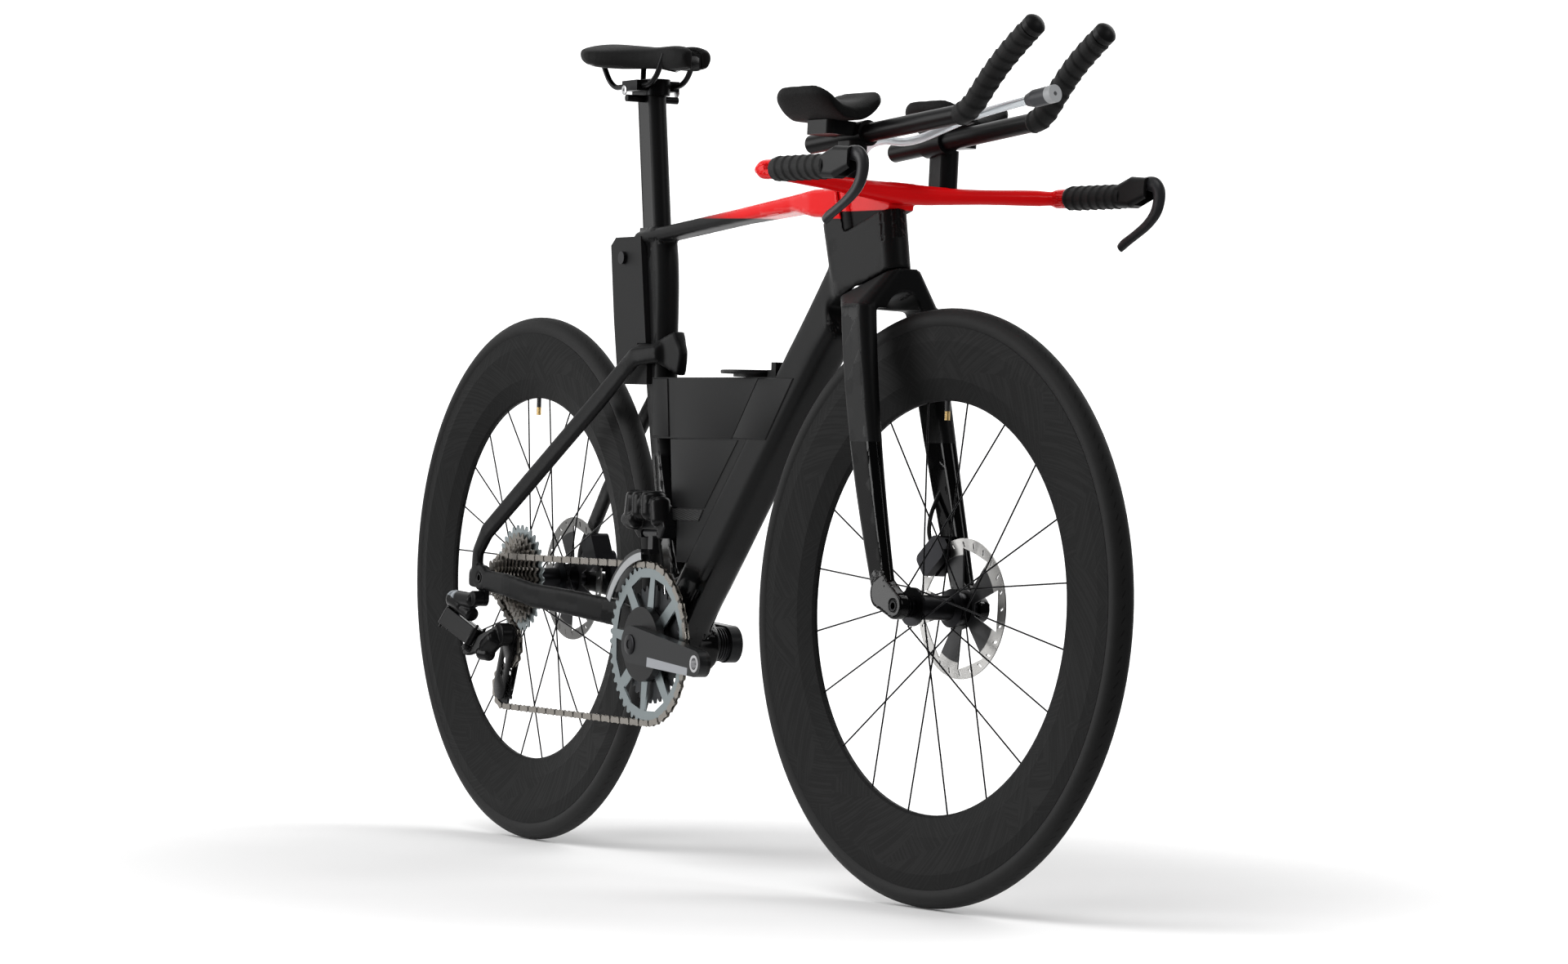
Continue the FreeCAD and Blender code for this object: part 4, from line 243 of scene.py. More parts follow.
class Graph:
    """A node tree that is written as expressions."""

    def __init__(self, tree):
        self.tree = tree

    def node(self, kind, inputs=None, output=0, **settings):
        """Adds a node with its settings, then its values or links, and returns one output as a field."""
        made = self.tree.nodes.new("ShaderNode" + kind)
        for key, value in settings.items():
            setattr(made, key, value)
        for key, value in (inputs or {}).items():
            self.put(made.inputs[key], value)
        return Field(self, made.outputs[output])

    def put(self, socket, value):
        if isinstance(value, Field):
            self.tree.links.new(value.socket, socket)
        elif socket.type == "RGBA":
            socket.default_value = (*value, 1.0)
        else:
            socket.default_value = value

    def end(self, kind, shader):
        """Leads a shader into a new output node."""
        self.tree.links.new(shader.socket, self.tree.nodes.new("ShaderNodeOutput" + kind).inputs["Surface"])

    def place(self, centre=ORIGIN, turn=ORIGIN):
        """Position on the piece, from a centre and turned about it, as a vector and its three parts."""
        spot = self.node("TexCoord", output="Object")
        if tuple(centre) != ORIGIN or tuple(turn) != ORIGIN:
            spot = self.node(
                "Mapping", {"Vector": spot, "Location": centre, "Rotation": turn}, vector_type="TEXTURE")
        return spot, *self.parts(spot)

    def parts(self, vector):
        split = self.node("SeparateXYZ", {0: vector}).socket.node
        return tuple(Field(self, output) for output in split.outputs)

    def vector(self, x, y, z):
        return self.node("CombineXYZ", {0: x, 1: y, 2: z})

    def rise(self, value, low, high, start=0.0, end=1.0):
        """The start value below low, the end value above high, smooth between."""
        return self.node(
            "MapRange", {0: value, 1: low, 2: high, 3: start, 4: end}, interpolation_type="SMOOTHSTEP")

    def below(self, value, limit):
        """1 on the lower side of a limit, with the thin blur of a masked edge."""
        return self.rise(limit - value, -PAINT_BLUR, PAINT_BLUR)

    def mix(self, mask, first, second):
        return self.node("Mix", {0: mask, 6: first, 7: second}, 2, data_type="RGBA")

    def noise(self, vector, scale, detail=3.0):
        return self.node("TexNoise", {"Vector": vector, "Scale": scale, "Detail": detail})

    def streaks(self, x, y, z, detail):
        """Noise drawn out by how far each direction is scaled."""
        return self.noise(self.vector(x, y, z), 1.0, detail)

    def cells(self, feature, output=0, **inputs):
        return self.node(
            "TexVoronoi", {name.title(): value for name, value in inputs.items()}, output, feature=feature)


def emptied(owner):
    """The node tree of a material or world, cleared to be written anew."""
    owner.use_nodes = True
    owner.node_tree.nodes.clear()
    return Graph(owner.node_tree)


class Finish(Graph):
    """A procedural finish: a principled surface whose sockets take plain values or fields."""

    def __init__(self, name):
        self.material = bpy.data.materials.new(name)
        self.material.use_nodes = True
        super().__init__(self.material.node_tree)

    def give(self, **values):
        surface = self.tree.nodes["Principled BSDF"]
        for name, value in values.items():
            self.put(surface.inputs[name.replace("_", " ").title().replace("Ior", "IOR")], value)

    def bump(self, height, distance, strength):
        self.give(normal=self.node("Bump", {"Strength": strength, "Distance": distance, "Height": height}))

    def shade(self, vector, base, scale, spread):
        """A base colour with soft dark and light drift."""
        return self.mix(self.noise(vector, scale), scaled(base, 1 - spread), scaled(base, 1 + spread))

    def satin(self, spot):
        return self.shade(spot, colours().satin, 900.0, 0.22)


def scaled(tint, share):
    return tuple(min(1.0, part * share) for part in tint)


FINISHES = {}


def finish(name, maker, *values):
    """Makes a finish once and keeps its material."""
    if name not in FINISHES:
        made = Finish(name)
        maker(made, *values)
        FINISHES[name] = made.material
    return FINISHES[name]


# Finishes

def frame_paint(made):
    """Satin carbon with a red top tube, and gloss black low on the seat tube and round the bracket."""
    spot, x, y, z = made.place()
    red_edge = 0.4525 - (x - 0.5) * 0.03
    red = made.rise(x, 0.41, 0.57) * made.rise(z - red_edge, -0.0005, 0.0015)
    red = red * (1 - made.rise(x, 0.832, 0.837))
    seat_foot = made.rise(0.452 - x, 0.0, 0.008) * made.rise(0.165 - z, -0.004, 0.004)
    shell = made.rise(0.030 - z, -0.02, 0.02) * made.rise(x, 0.36, 0.40)
    gloss = (seat_foot * made.rise(x, 0.30, 0.33)).larger(shell)
    body = made.mix(gloss, made.satin(spot), colours().gloss)
    grain = made.noise(spot, 2600.0, 2.0)
    rough = (0.40 + grain * 0.10) * (1 - gloss) * (1 - red)
    made.give(
        specular_ior_level=CARBON_SHINE, coat_roughness=0.06, base_color=made.mix(red, body, colours().red),
        roughness=rough + gloss * 0.13 + red * 0.24, coat_weight=gloss * 0.12 + red * 0.05)
    made.bump(grain * (1 - gloss), 0.00002, 0.5)


def fork_paint(made):
    """Satin crown over gloss black blades."""
    spot, x, y, z = made.place()
    gloss = made.below(z, FORK_PAINT_EDGE)
    grain = made.noise(spot, 2600.0, 2.0)
    made.give(
        specular_ior_level=CARBON_SHINE, coat_roughness=0.06,
        base_color=made.mix(gloss, made.satin(spot), colours().gloss),
        roughness=(0.40 + grain * 0.10) * (1 - gloss) + gloss * 0.12, coat_weight=gloss * 0.12)
    made.bump(grain * (1 - gloss), 0.00002, 0.5)


def bar_lacquer(made):
    """Red lacquer with a satin neck below the bar."""
    spot, x, y, z = made.place()
    neck = made.below(z, BAR_PAINT_EDGE)
    red = made.shade(spot, colours().red, 600.0, 0.05)
    peel = made.noise(spot, 320.0, 1.0)
    made.give(
        specular_ior_level=0.06, coat_roughness=0.05, base_color=made.mix(neck, red, made.satin(spot)),
        roughness=0.24 + neck * 0.18 + peel * 0.04, coat_weight=(1 - neck) * 0.10)
    made.bump(peel, 0.00004, 0.35)


def satin_carbon(made, tint, rough=0.42):
    spot = made.place()[0]
    grain = made.noise(spot, 2400.0, 2.0)
    made.give(
        specular_ior_level=CARBON_SHINE, base_color=made.shade(spot, tint, 700.0, 0.25),
        roughness=rough - 0.05 + grain * 0.10)
    made.bump(grain, 0.00003, 0.5)


def rim_weave(made, centre, turn):
    """Matte carbon laid in slanted strips that change direction from patch to patch."""
    spot, x, y, z = made.place(centre, turn)
    radius = (x * x + z * z).root()
    around = z.angle(x) * RIM_MIDDLE
    patch = made.cells(
        "F1", 1, vector=made.vector(around * 15.0, radius * 22.0, y * 6.0), scale=1.0, randomness=0.75)
    lean = made.rise(made.parts(patch)[0], 0.45, 0.55) * 1.7 - 0.85
    lane = around * 260.0 + radius * lean * 330.0
    strips = made.rise(made.streaks(lane, radius * 16.0, 0.0, 1.5), 0.47, 0.56)
    fine = made.streaks(lane * 5.0, radius * 40.0, 0.0, 2.0)
    tint = colours().rim
    made.give(
        specular_ior_level=0.10,
        base_color=made.mix(strips * 0.6 + fine * 0.4, scaled(tint, 0.8), scaled(tint, 1.22)),
        roughness=0.54 - strips * 0.05 + fine * 0.06)
    made.bump(strips * 0.4 + fine * 0.6, 0.00005, 0.4)


def tyre_rubber(made, centre, turn):
    """Slick rubber with a fine cloth side wall and small slanted cuts beside the crown, painted darker inside
    as painted shade.
    """
    spot, x, y, z = made.place(centre, turn)
    side = y.size()
    wall = made.rise(side, 0.0095, 0.0115)
    cuts = ((z.angle(x) * 150.0 + side * 900.0) / (2 * math.pi)).fraction()
    cut_with_painted_shade = made.rise(cuts, 0.78, 0.82) * made.rise(side, 0.0045, 0.005)
    cut_with_painted_shade = cut_with_painted_shade * (1 - made.rise(side, 0.0078, 0.0083))
    ribs = ((x * x + z * z).root() * 4200.0).sine()
    grain = made.noise(spot, 1800.0)
    tint = colours().rubber
    made.give(
        specular_ior_level=PLASTIC_SHINE,
        # The cuts' darker colour is painted shade in the grooves
        base_color=made.mix(cut_with_painted_shade, made.shade(spot, tint, 60.0, 0.25), scaled(tint, 0.35)),
        roughness=0.62 + grain * 0.18 - wall * 0.08)
    made.bump(grain * 0.35 + ribs * wall * 0.10 - cut_with_painted_shade, 0.0002, 0.7)


def brushed(made, tint, rough=0.3):
    """Metal brushed along the bike's width."""
    spot, x, y, z = made.place()
    lines = made.streaks(x * 900.0, y * 60.0, z * 900.0, 3.0)
    smudge = made.noise(spot, 45.0, 2.0)
    made.give(metallic=1.0, base_color=made.mix(lines, scaled(tint, 0.78), tint),
              roughness=rough - 0.06 + lines * 0.12 + smudge * 0.06)
    made.bump(lines, 0.00003, 0.35)


def turned_metal(made, centre, turn, tint, inner, inner_radius, rough=0.28):
    """Metal with fine rings about an axle, and another colour inside a radius."""
    spot, x, y, z = made.place(centre, turn)
    radius = (x * x + z * z).root()
    rings = made.streaks(radius * 2600.0, y * 40.0, 0.0, 2.0)
    carrier = made.rise(inner_radius - radius, -0.0006, 0.0006)
    bright = made.mix(rings, scaled(tint, 0.72), tint)
    made.give(base_color=made.mix(carrier, bright, inner), metallic=1 - carrier * 0.75,
              roughness=rough + rings * 0.10 + carrier * 0.12)
    made.bump(rings, 0.00003, 0.4)


def moulded(made, tint, rough=0.5):
    """Moulded plastic with a fine spark-eroded grain."""
    spot = made.place()[0]
    grain = made.noise(spot, 1500.0, 2.0)
    wear = made.noise(spot, 30.0)
    made.give(
        specular_ior_level=PLASTIC_SHINE, base_color=made.shade(spot, tint, 120.0, 0.2),
        roughness=rough - 0.06 + grain * 0.08 + wear * 0.06)
    made.bump(grain, 0.00008, 0.5)


def ribbed(made):
    """Black plastic with fine finger ribs, painted lighter on their crests and darker in the grooves as
    painted shade.
    """
    spot, x, y, z = made.place()
    ribs = (z * 2600.0 + x * 500.0).sine()
    made.give(
        specular_ior_level=0.3,
        # Lighter crests and darker grooves follow the bump: painted shade in the grooves
        base_color=made.mix(made.rise(ribs, -0.4, 0.4), (0.004, 0.004, 0.004), (0.012, 0.012, 0.012)),
        roughness=0.5 + ribs * 0.04)
    made.bump(ribs, 0.0004, 0.7)


def wrap_rubber(made, tint):
    """Grippy tape with pressed dimples."""
    spot = made.place()[0]
    dimples = made.cells("F1", vector=spot, scale=520.0, randomness=0.2)
    grain = made.noise(spot, 1700.0, 2.0)
    made.give(
        specular_ior_level=0.3, base_color=made.shade(spot, tint, 90.0, 0.3), roughness=0.60 + grain * 0.16)
    made.bump(made.rise(dimples, 0.1, 0.5) * 0.7 + grain * 0.3, 0.00025, 0.6)


def soft_cover(made, tint, scale=700.0):
    """Microfibre cover with a leathery grain."""
    spot = made.place()[0]
    pebble = made.rise(made.cells("DISTANCE_TO_EDGE", vector=spot, scale=scale), 0.0, 0.22)
    grain = made.noise(spot, 2200.0, 2.0)
    made.give(
        specular_ior_level=0.14, sheen_weight=0.03, sheen_roughness=0.5,
        base_color=made.shade(spot, tint, 40.0, 0.28), roughness=0.66 - pebble * 0.10 + grain * 0.12)
    made.bump(pebble * 0.7 + grain * 0.3, 0.00018, 0.55)


def clear_tube(made, tint):
    haze = made.noise(made.place()[0], 240.0, 2.0)
    made.give(
        transmission_weight=0.55, ior=1.38, specular_ior_level=0.5,
        base_color=made.mix(haze, scaled(tint, 0.93), tint), roughness=0.16 + haze * 0.10)


def bite_rubber(made, start):
    """Dark grey bite valve with a pale end."""
    spot, x, y, z = made.place(start)
    pale = made.rise(x * 0.985 + y * 0.10 + z * 0.13, 0.033, 0.0335)
    grain = made.noise(spot, 900.0)
    made.give(
        specular_ior_level=0.4, base_color=made.mix(pale, (0.055, 0.057, 0.062), (0.42, 0.43, 0.44)),
        roughness=0.42 + grain * 0.12)
    made.bump(grain, 0.00006, 0.5)


def valve_metal(made, solid, centre):
    """Black tyre valve with a brass core at its inner end."""
    spot, x, y, z = made.place(centre)
    inner_end = min((vertex.co - centre).length for vertex in NODES[solid].data.vertices)
    radius = (x * x + y * y + z * z).root()
    core = made.rise(inner_end + 0.010 - radius, -0.0004, 0.0004)
    lines = (radius * 9000.0).sine()
    made.give(
        base_color=made.mix(core, NEAR_BLACK, colours().brass), metallic=core, roughness=0.30 + lines * 0.05)
    made.bump(lines, 0.00015, 0.5)


def crank_paint(made):
    """Dark grey arm with a pale wedge along its lower half, a bright pedal eye and a black spider."""
    tint = colours()
    spot, x, y, z = made.place(BRACKET, (0, math.radians(5.6), 0))
    wedge = made.rise(x, 0.046, 0.0465) * made.rise(0.150 - x, 0.0, 0.0005)
    wedge = wedge * made.rise(-0.007 - z - (0.15 - x) * 0.02, 0.0, 0.0004)
    wedge = wedge * made.rise(-0.066 - y, 0.0, 0.001)
    along = x - CRANK_LENGTH
    bright = made.rise(EYE_RADIUS - (along * along + z * z).root(), 0.0, 0.0004)
    base = made.mix(wedge, made.shade(spot, tint.crank, 500.0, 0.2), (0.30, 0.31, 0.33))
    base = made.mix(made.rise(y, -0.0630, -0.0620), base, tint.plastic)
    made.give(
        specular_ior_level=0.2, coat_roughness=0.08, base_color=made.mix(bright, base, tint.silver),
        metallic=bright, roughness=0.30 + made.noise(spot, 900.0) * 0.10 - bright * 0.04,
        coat_weight=(1 - bright) * 0.15)


def derailleur_edged(made):
    """Gloss black with a pale edge round its rear end."""
    spot, x, y, z = made.place((-0.062, 0, -0.072))
    pale = made.rise((x * x + z * z).root(), 0.0475, 0.0485) * made.rise(0.022 - x, 0.0, 0.006)
    grain = made.noise(spot, 900.0)
    made.give(
        specular_ior_level=0.12, base_color=made.mix(pale, colours().plastic, (0.34, 0.37, 0.40)),
        metallic=pale * 0.8, roughness=0.26 + grain * 0.10)
    made.bump(grain, 0.00004, 0.4)


def cage_grey(made):
    """Black shift cage with a bright lower edge on its outer plate."""
    spot, x, y, z = made.place(BRACKET)
    bright = made.rise(0.1135 - (x * x + z * z).root(), 0.0, 0.001) * made.rise(-0.0475 - y, 0.0, 0.001)
    lines = made.streaks(x * 300.0, y * 60.0, z * 900.0, 2.0)
    made.give(base_color=made.mix(bright, NEAR_BLACK, (0.5, 0.51, 0.52)), metallic=bright,
              roughness=0.28 + lines * 0.12)
    made.bump(lines, 0.00003, 0.4)


def sprocket_steel(made):
    """Worn plated sprockets with a grey-blue largest one."""
    spot, x, y, z = made.place()
    rings = made.streaks((x * x + z * z).root() * 2200.0, y * 50.0, 0.0, 2.0)
    largest = made.rise(y, -0.0245, -0.0235)
    worn = made.mix(rings, scaled(colours().chain, 0.5), scaled(colours().chain, 0.8))
    made.give(metallic=1.0, base_color=made.mix(largest, worn, colours().ring), roughness=0.24 + rings * 0.14)
    made.bump(rings, 0.00003, 0.4)


# Working on meshes as by hand

def deselect():
    if bpy.context.object and bpy.context.object.mode != "OBJECT":
        bpy.ops.object.mode_set(mode="OBJECT")
    bpy.ops.object.select_all(action="DESELECT")


def pick(piece):
    deselect()
    piece.select_set(True)
    bpy.context.view_layer.objects.active = piece


def edit(piece, action):
    """Edit mode on one piece with everything or nothing selected."""
    pick(piece)
    bpy.ops.object.mode_set(mode="EDIT")
    bpy.ops.mesh.select_all(action=action)


def done(piece):
    bpy.ops.object.mode_set(mode="OBJECT")
    return piece


def modify(piece, kind, **settings):
    """Adds a modifier with its settings and applies it."""
    pick(piece)
    modifier = piece.modifiers.new(kind.lower(), kind)
    for key, value in settings.items():
        setattr(modifier, key, value)
    bpy.ops.object.modifier_apply(modifier=modifier.name)


def bevel(piece, width, segments):
    modify(piece, "BEVEL", width=width, segments=segments, limit_method="ANGLE",
           angle_limit=math.radians(BEVEL_EDGE))


def relax(piece, rounds, group=""):
    modify(piece, "SMOOTH", factor=0.5, iterations=rounds, vertex_group=group)


def smooth(piece, degrees=None):
    """Smooth shading, everywhere or only across edges flatter than an angle."""
    pick(piece)
    if degrees is None:
        bpy.ops.object.shade_smooth()
    else:
        bpy.ops.object.shade_smooth_by_angle(angle=math.radians(degrees))
    return piece


def steered():
    turn = Matrix.Rotation(sizes().steer_rest, 4, STEER_AXIS)
    return Matrix.Translation(STEER_POINT) @ turn @ Matrix.Translation(-STEER_POINT)


def settle(piece, name, turned=False):
    """Puts a piece's place into its mesh, and turns pieces of the front end with it."""
    pick(piece)
    piece.name = name
    bpy.ops.object.transform_apply(location=True, rotation=True, scale=True)
    if turned:
        piece.data.transform(steered())
    return piece


def dress(piece, body, material, slot, *replaced):
    piece.data.materials.clear()
    piece.data.materials.append(material)
    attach(piece, body)
    if replaced:
        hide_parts(*replaced)


def paint(material, *solids, degrees=None):
    """Gives solids of the frame a finish, and smooth shading up to an angle."""
    for solid in solids:
        NODES[solid].data.materials.clear()
        NODES[solid].data.materials.append(material)
        if degrees:
            smooth(NODES[solid], degrees)


def linked(name, data):
    piece = bpy.data.objects.new(name, data)
    bpy.context.scene.collection.objects.link(piece)
    return piece


def copy_of(node, name):
    """A merged copy of a solid's mesh to work on."""
    piece = linked(name, NODES[node].data.copy())
    edit(piece, "SELECT")
    bpy.ops.mesh.remove_doubles(threshold=MERGE_GAP)
    return done(piece)


def melt(piece, grid, rounds):
    """One moulded skin with rounded junctions in place of sharp ones."""
    pick(piece)
    piece.data.remesh_voxel_size = grid
    bpy.ops.object.voxel_remesh()
    relax(piece, rounds)
    return smooth(piece)


def rod(start, end, radius):
    """A cylinder with rounded ends between two points, all in millimetres."""
    start, end, radius = Vector(start) / 1000, Vector(end) / 1000, radius / 1000
    run = end - start
    deselect()
    bpy.ops.mesh.primitive_cylinder_add(
        vertices=32, radius=radius, depth=run.length + radius, location=(start + end) / 2,
        rotation=run.to_track_quat("Z", "Y").to_euler())
    piece = bpy.context.object
    bevel(piece, radius / 2, 4)
    return piece


def joined(pieces):
    """Several pieces as one."""
    pick(pieces[0])
    for piece in pieces[1:]:
        piece.select_set(True)
    if len(pieces) > 1:
        bpy.ops.object.join()
    return bpy.context.object


def grown(piece, lumps):
    """A piece with rounded lumps, to be melted into one skin."""
    return joined([piece] + [rod(*lump) for lump in lumps])


def soften(piece, rounds, *zones):
    """Rounds the junctions inside spheres and leaves the rest as it is."""
    group = piece.vertex_groups.new(name="junctions")
    for vertex in piece.data.vertices:
        weight = max(1 - ((vertex.co - Vector(centre)).length / radius) ** 4 for centre, radius in zones)
        if weight > 0:
            group.add([vertex.index], weight, "REPLACE")
    relax(piece, rounds, group.name)
    return piece


def panel(name, outline, side, thickness, edge):
    """A flat panel with rounded edges, from its (x, z) outline, centred on one side plane."""
    deselect()
    bpy.ops.mesh.primitive_circle_add(
        vertices=len(outline), radius=1.0, fill_type="NGON", rotation=(math.pi / 2, 0, 0))
    plate = settle(bpy.context.object, name)
    for vertex, (x, z) in zip(plate.data.vertices, outline):
        vertex.co = (x, side, z)
    modify(plate, "SOLIDIFY", thickness=thickness, offset=0.0)
    bevel(plate, edge, 3)
    return smooth(plate, PANEL_EDGE)


def bolt(place, axis, radius, height):
    """A bolt head with a rounded rim and a recessed middle, standing on a place."""
    deselect()
    turn = Vector(axis).to_track_quat("Z", "Y")
    top = turn @ Vector((0, 0, 1))
    bpy.ops.mesh.primitive_cylinder_add(
        vertices=sizes().bolt_sides, radius=radius, depth=height, end_fill_type="NGON",
        location=Vector(place) + top * (height / 2), rotation=turn.to_euler())
    head = bpy.context.object
    bevel(head, radius * 0.12, 2)
    edit(head, "DESELECT")
    bpy.ops.mesh.select_mode(type="FACE")
    for face in bmesh.from_edit_mesh(head.data).faces:
        face.select_set(face.normal.z > 0.99)
    bmesh.update_edit_mesh(head.data)
    bpy.ops.mesh.inset(thickness=radius * 0.48)
    bpy.ops.mesh.extrude_region_move(TRANSFORM_OT_translate={"value": top * -height * 0.5})
    return done(head)


def fasteners(name, heads):
    """Bolt heads, ribs or links as one piece."""
    return smooth(settle(joined(heads), name), BOLT_EDGE)


def spline_curve(name, points, radius, resolution):
    """A round tube on one smooth spline through control points."""
    data = bpy.data.curves.new(name, "CURVE")
    data.dimensions = "3D"
    spline = data.splines.new("NURBS")
    spline.points.add(len(points) - 1)
    for knot, place in zip(spline.points, points):
        knot.co = (*place, 1.0)
    spline.order_u = 3
    spline.use_endpoint_u = True
    spline.resolution_u = resolution
    data.resolution_u = resolution
    data.bevel_depth = radius
    data.bevel_resolution = 5
    data.use_fill_caps = True
    return linked(name, data)


def meshed(curve):
    pick(curve)
    bpy.ops.object.convert(target="MESH")
    return bpy.context.object


def distances(line):
    """How far along a line of points each of them lies."""
    steps = [0.0]
    for before, after in zip(line, line[1:]):
        steps.append(steps[-1] + (after - before).length)
    return steps


class PieceOperator:
    bl_options = {"REGISTER", "UNDO"}


class BIKE_OT_stage(PieceOperator, bpy.types.Operator):
    """Camera at the photograph's place, soft studio light, white surroundings and a pale floor"""
    bl_idname = "bike.stage"
    bl_label = "Stage"

    def execute(self, context):
        self.camera(context)
        self.lights()
        self.floor()
        self.surroundings(context)
        context.scene.view_settings.view_transform = "Standard"
        return {"FINISHED"}

    def camera(self, context):
        level = math.cos(CAMERA_LIFT)
        back = Vector((math.cos(CAMERA_SIDE) * level, -math.sin(CAMERA_SIDE) * level, math.sin(CAMERA_LIFT)))
        turn = back.to_track_quat("Z", "Y") @ Quaternion((0, 0, 1), CAMERA_ROLL)
        deselect()
        bpy.ops.object.camera_add(location=CAMERA_TARGET + back * CAMERA_DISTANCE)
        camera = context.object
        camera.rotation_euler = turn.to_euler()
        camera.data.lens = SENSOR_WIDTH * FOCAL_PIXELS / PHOTO_PIXELS
        camera.data.sensor_width = SENSOR_WIDTH
        context.scene.camera = camera

    def lights(self):
        for name, place, aim, size, watts in LAMPS:
            deselect()
            bpy.ops.object.light_add(type="AREA", location=place)
            lamp = bpy.context.object
            lamp.name = name
            lamp.data.energy = watts
            lamp.data.size = size
            lamp.rotation_euler = (Vector(place) - Vector(aim)).to_track_quat("Z", "Y").to_euler()

    def floor(self):
        """White paper that fades out round the bike."""
        deselect()
        bpy.ops.mesh.primitive_plane_add(size=FLOOR_SIZE, location=(0.5, 0, GROUND - FLOOR_GAP))
        floor = bpy.context.object
        floor.name = "studio_floor"
        material = bpy.data.materials.new("floor_white")
        graph = emptied(material)
        reach = graph.node("VectorMath", {0: graph.place()[0]}, "Value", operation="LENGTH")
        clear = graph.node("BsdfTransparent")
        paper = graph.node("BsdfDiffuse", {"Color": (0.93, 0.93, 0.93)})
        fade = graph.rise(reach, *FLOOR_FADE, 1.0, 0.0)
        graph.end("Material", graph.node("MixShader", {0: fade, 1: clear, 2: paper}))
        floor.data.materials.append(material)

    def surroundings(self, context):
        """White to the camera, half as bright as light, and for mirrored rays bright only behind the bike."""
        world = bpy.data.worlds.new("white_studio")
        context.scene.world = world
        graph = emptied(world)
        seen, through, mirrored = (graph.node("LightPath", output=f"Is {ray} Ray")
                                   for ray in ("Camera", "Transmission", "Glossy"))
        seen = seen.larger(through)
        heading = graph.node("TexCoord", output="Generated")
        facing = graph.node("VectorMath", {0: heading, 1: TO_CAMERA}, "Value", operation="DOT_PRODUCT")
        strength = graph.rise(facing, -0.95, -0.30, 1.5, 0.08).larger(seen)
        light, white = (graph.node("Background", {"Color": (1, 1, 1), "Strength": value})
                        for value in (0.5, strength))
        graph.end("World", graph.node("MixShader", {0: seen.larger(mirrored), 1: light, 2: white}))


class BIKE_OT_drink(PieceOperator, bpy.types.Operator):
    """Clear drinking hose from the stem to the bite valve"""
    bl_idname = "bike.drink"
    bl_label = "Drinking hose"

    def execute(self, context):
        turn = steered()
        route = [turn @ (Vector(place) / 1000) for place in HOSE_ROUTE]
        hose = spline_curve("hose", route, sizes().hose_radius, 12)
        dress(
            hose, "steering", finish("clear_hose", clear_tube, colours().hose), "clear_hose", "drinking_hose")
        paint(finish("clip_black", moulded, colours().plastic), "hose_clip")
        paint(finish("valve_rubber", bite_rubber, route[-1]), "bite_valve", degrees=ROUND_EDGE)
        return {"FINISHED"}


class BIKE_OT_frame(PieceOperator, bpy.types.Operator):
    """Moulded frame skins with smooth junctions, and their paint"""
    bl_idname = "bike.frame"
    bl_label = "Frame"

    def execute(self, context):
        grid = sizes().frame_grid
        lacquer = finish("frame_paint", frame_paint)
        head = ((0.795, 0, 0.295), 0.105)
        shell = ((BRACKET.x - 0.02, 0, BRACKET.z + 0.04), 0.11)
        collar = ((0.34, 0, 0.29), 0.075)
        crown = (STEER_POINT + STEER_AXIS * ((0.375 - STEER_POINT.z) / STEER_AXIS.z), 0.085)
        front = soften(melt(copy_of("front_triangle", "frame_front_skin"), grid, 6), 45, head, shell)
        dress(front, "frame", lacquer, "satin_carbon", "front_triangle")
        rear = soften(melt(copy_of("rear_triangle", "frame_rear_skin"), grid, 6), 10, collar)
        dress(rear, "frame", lacquer, "satin_carbon", "rear_triangle")
        fork = soften(melt(copy_of("fork", "fork_skin"), grid * 0.8, 6), 18, crown)
        dress(fork, "steering", finish("fork_paint", fork_paint), "satin_carbon", "fork")
        satin = finish("post_satin", satin_carbon, colours().satin)
        paint(satin, "frame_storage_box")
        paint(satin, "seatpost", degrees=ROUND_EDGE)
        # The rear storage box takes a lighter copy of the satin carbon, partly painted light
        paint(finish("box_satin_painted_light", satin_carbon, BOX_GREY_WITH_PAINTED_LIGHT, 0.46), "rear_storage_box")
        paint(
            finish("black_metal", brushed, AXLE_BLACK, 0.36), "derailleur_hanger", "rear_axle", "front_axle")
        paint(finish("silver_metal", brushed, colours().silver, 0.28), "frame_bearings")
        paint(finish("latch_grey", brushed, LATCH_GREY, 0.34), "rear_box_latch")
        self.box_panels(satin)
        self.lid()
        return {"FINISHED"}

    def box_panels(self, satin):
        """Proud panels and the pull tab on both sides of the storage box between the tubes."""
        half_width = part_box("frame_storage_box")[1].y
        tab = finish("tab_black", ribbed)
        for name, (proud, outline) in BOX_PANELS.items():
            material, slot = (tab, "black_plastic") if name == "box_pull_tab" else (satin, "satin_carbon")
            for side, sign in (("left", 1), ("right", -1)):
                plate = panel(f"{side}_{name}", outline, sign * half_width, 2 * proud, proud * 0.8)
                dress(plate, "frame", material, slot)

    def lid(self):
        """The fill cap with its round lip."""
        top = Vector((PIVOTS["fill_cap_hinge"].x - LIP_REACH, 0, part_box("fill_lid")[1].z))
        deselect()
        bpy.ops.mesh.primitive_cylinder_add(
            vertices=64, radius=LIP_RADIUS, depth=LIP_HEIGHT, location=top - Vector((0, 0, LIP_DROP)))
        lip = settle(bpy.context.object, "lid_lip")
        bevel(lip, 0.0012, 3)
        black = finish("lid_black", moulded, colours().plastic, 0.42)
        dress(smooth(lip, PANEL_EDGE), "fill_cap", black, "black_plastic")
        paint(black, "fill_lid")


